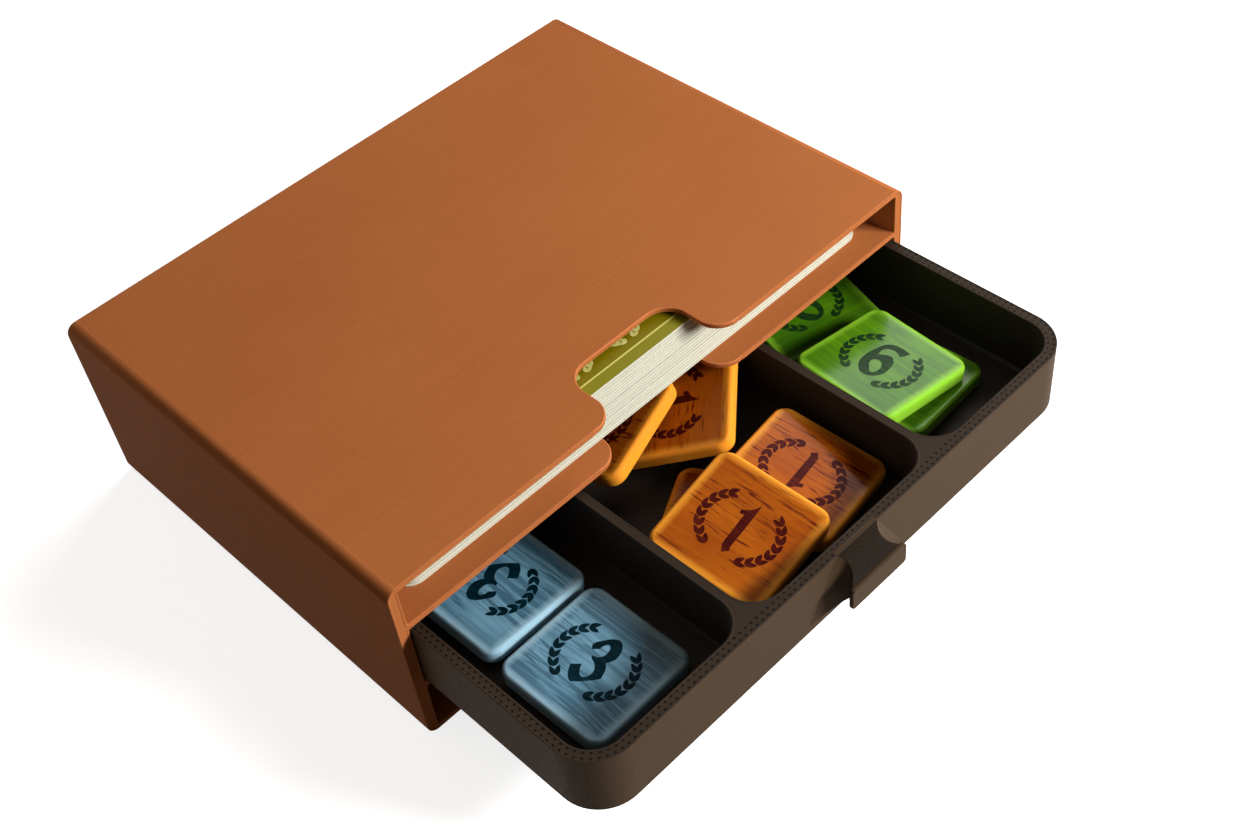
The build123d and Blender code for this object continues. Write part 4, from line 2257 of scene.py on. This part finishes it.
def make_case(beads: BeadTree) -> bpy.types.Object:
    """Make the case in its plastic, and in a brighter copy on the rounded edges that is partly their wear and
    partly painted highlight.

    Args:
        beads: the tree that lays its beads.

    Returns:
        The finished case.
    """
    rust = PrintedPlastic(
        "case_plastic_print", srgb(176, 104, 58), srgb(169, 98, 53), Axis.ALONG_Y, specular=0.02
    )
    # The edges' brighter colour is partly wear and partly painted highlight where the rounded edges catch
    # light.
    worn = PrintedPlastic(
        "case_edge_wear_and_highlight", srgb(202, 120, 70), srgb(190, 110, 62), Axis.ALONG_Y, specular=0.08
    )
    return Case(Box.of_node("case"), beads, rust.build(), worn.build()).make()


def make_drawer(beads: BeadTree) -> bpy.types.Object:
    """Make the drawer in its wall plastic and in three darker copies of it, which paint shade on the rim, in
    the pockets, and in the rim's pits and the neck's grooves.

    Args:
        beads: the tree that lays its beads.

    Returns:
        The finished drawer.
    """
    walls = PrintedPlastic(
        "drawer_wall_print",
        srgb(72, 56, 41),
        srgb(65, 50, 36),
        Axis.ALONG_Z,
        layer_depth_mm=0.001,
        ripple_mm=0.002,
        specular=0.04,
    )
    # The rim is the walls' plastic, darker: painted shade.
    rim = PrintedPlastic("drawer_rim_painted_shade", srgb(54, 42, 32), srgb(38, 30, 23), Axis.ALONG_Z, specular=0.08)
    # The pockets' walls and floors, darker still: painted shade inside the pockets.
    inner = PrintedPlastic("drawer_pocket_painted_shade", srgb(42, 35, 29), srgb(34, 28, 23), Axis.ALONG_Z)
    # Near-black copy of the plastic: painted shade in the rim's pits and the neck's grooves.
    pits = PrintedPlastic("drawer_pit_painted_shade", srgb(16, 12, 9), srgb(11, 8, 6), Axis.ALONG_Z, specular=0.05)
    finishes = [plastic.build() for plastic in (walls, rim, inner, pits)]
    return Drawer(Box.of_node("drawer"), beads, PitTree(), *finishes).make()


def make_cards(branches: BranchTree) -> list[bpy.types.Object]:
    """Make the deck and its top card.

    Args:
        branches: the tree that lays the wreaths' leaves.

    Returns:
        The finished cards, from the bottom up.
    """
    stock = CardStock("card_edges", srgb(206, 205, 188), srgb(195, 194, 176)).build()
    face = CardFace("card_print", srgb(116, 104, 0), srgb(130, 124, 24), srgb(212, 204, 108))
    ink = CardInk("card_ink", srgb(206, 206, 128), srgb(186, 186, 100)).build()
    wreath = Wreath(
        branches,
        radius_mm=3.6,
        apart_mm=0.0,
        lowest_angle=-70.0,
        sweep=128.0,
        leaf_length_mm=1.45,
        leaf_half_width_mm=0.68,
        leaf_lean=12.0,
    )
    return Deck(stock, face, CardPattern(RowsTree(), wreath), ink).make()


def make_tiles(branches: BranchTree) -> list[bpy.types.Object]:
    """Make the ten tiles, each with the finish of its colour.

    Args:
        branches: the tree that lays the wreaths' leaves.

    Returns:
        The finished tiles.
    """
    wreath = Wreath(branches)
    dressed = {
        colour: (tint, tint.resin.build(Tile.side_mm / 2), tint.mark.build())
        for colour, tint in TINTS.items()
    }
    pieces = []
    for pose in TILE_POSES:
        tint, resin, ink = dressed[pose.node.split("_")[1]]
        tile = Tile(pose, tint, resin)
        pieces.append(tile.make(wreath.marks(tint.numeral, tile.mark_lift_mm, ink)))
    return pieces


def main() -> None:
    """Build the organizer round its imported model, then set up the studio."""
    logging.basicConfig(level=logging.INFO, format="%(name)s: %(message)s")
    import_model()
    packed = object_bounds()
    beads = BeadTree()
    branches = BranchTree()
    pieces = [make_case(beads), make_drawer(beads), *make_cards(branches), *make_tiles(branches)]
    for piece in pieces:
        LOG.info("%s: %d faces", piece.name, len(piece.data.polygons))

    low, high = Vector(packed[0]), Vector(packed[1])
    Studio().set_up((low + high) / 2)


if __name__ == "__main__":
    main()
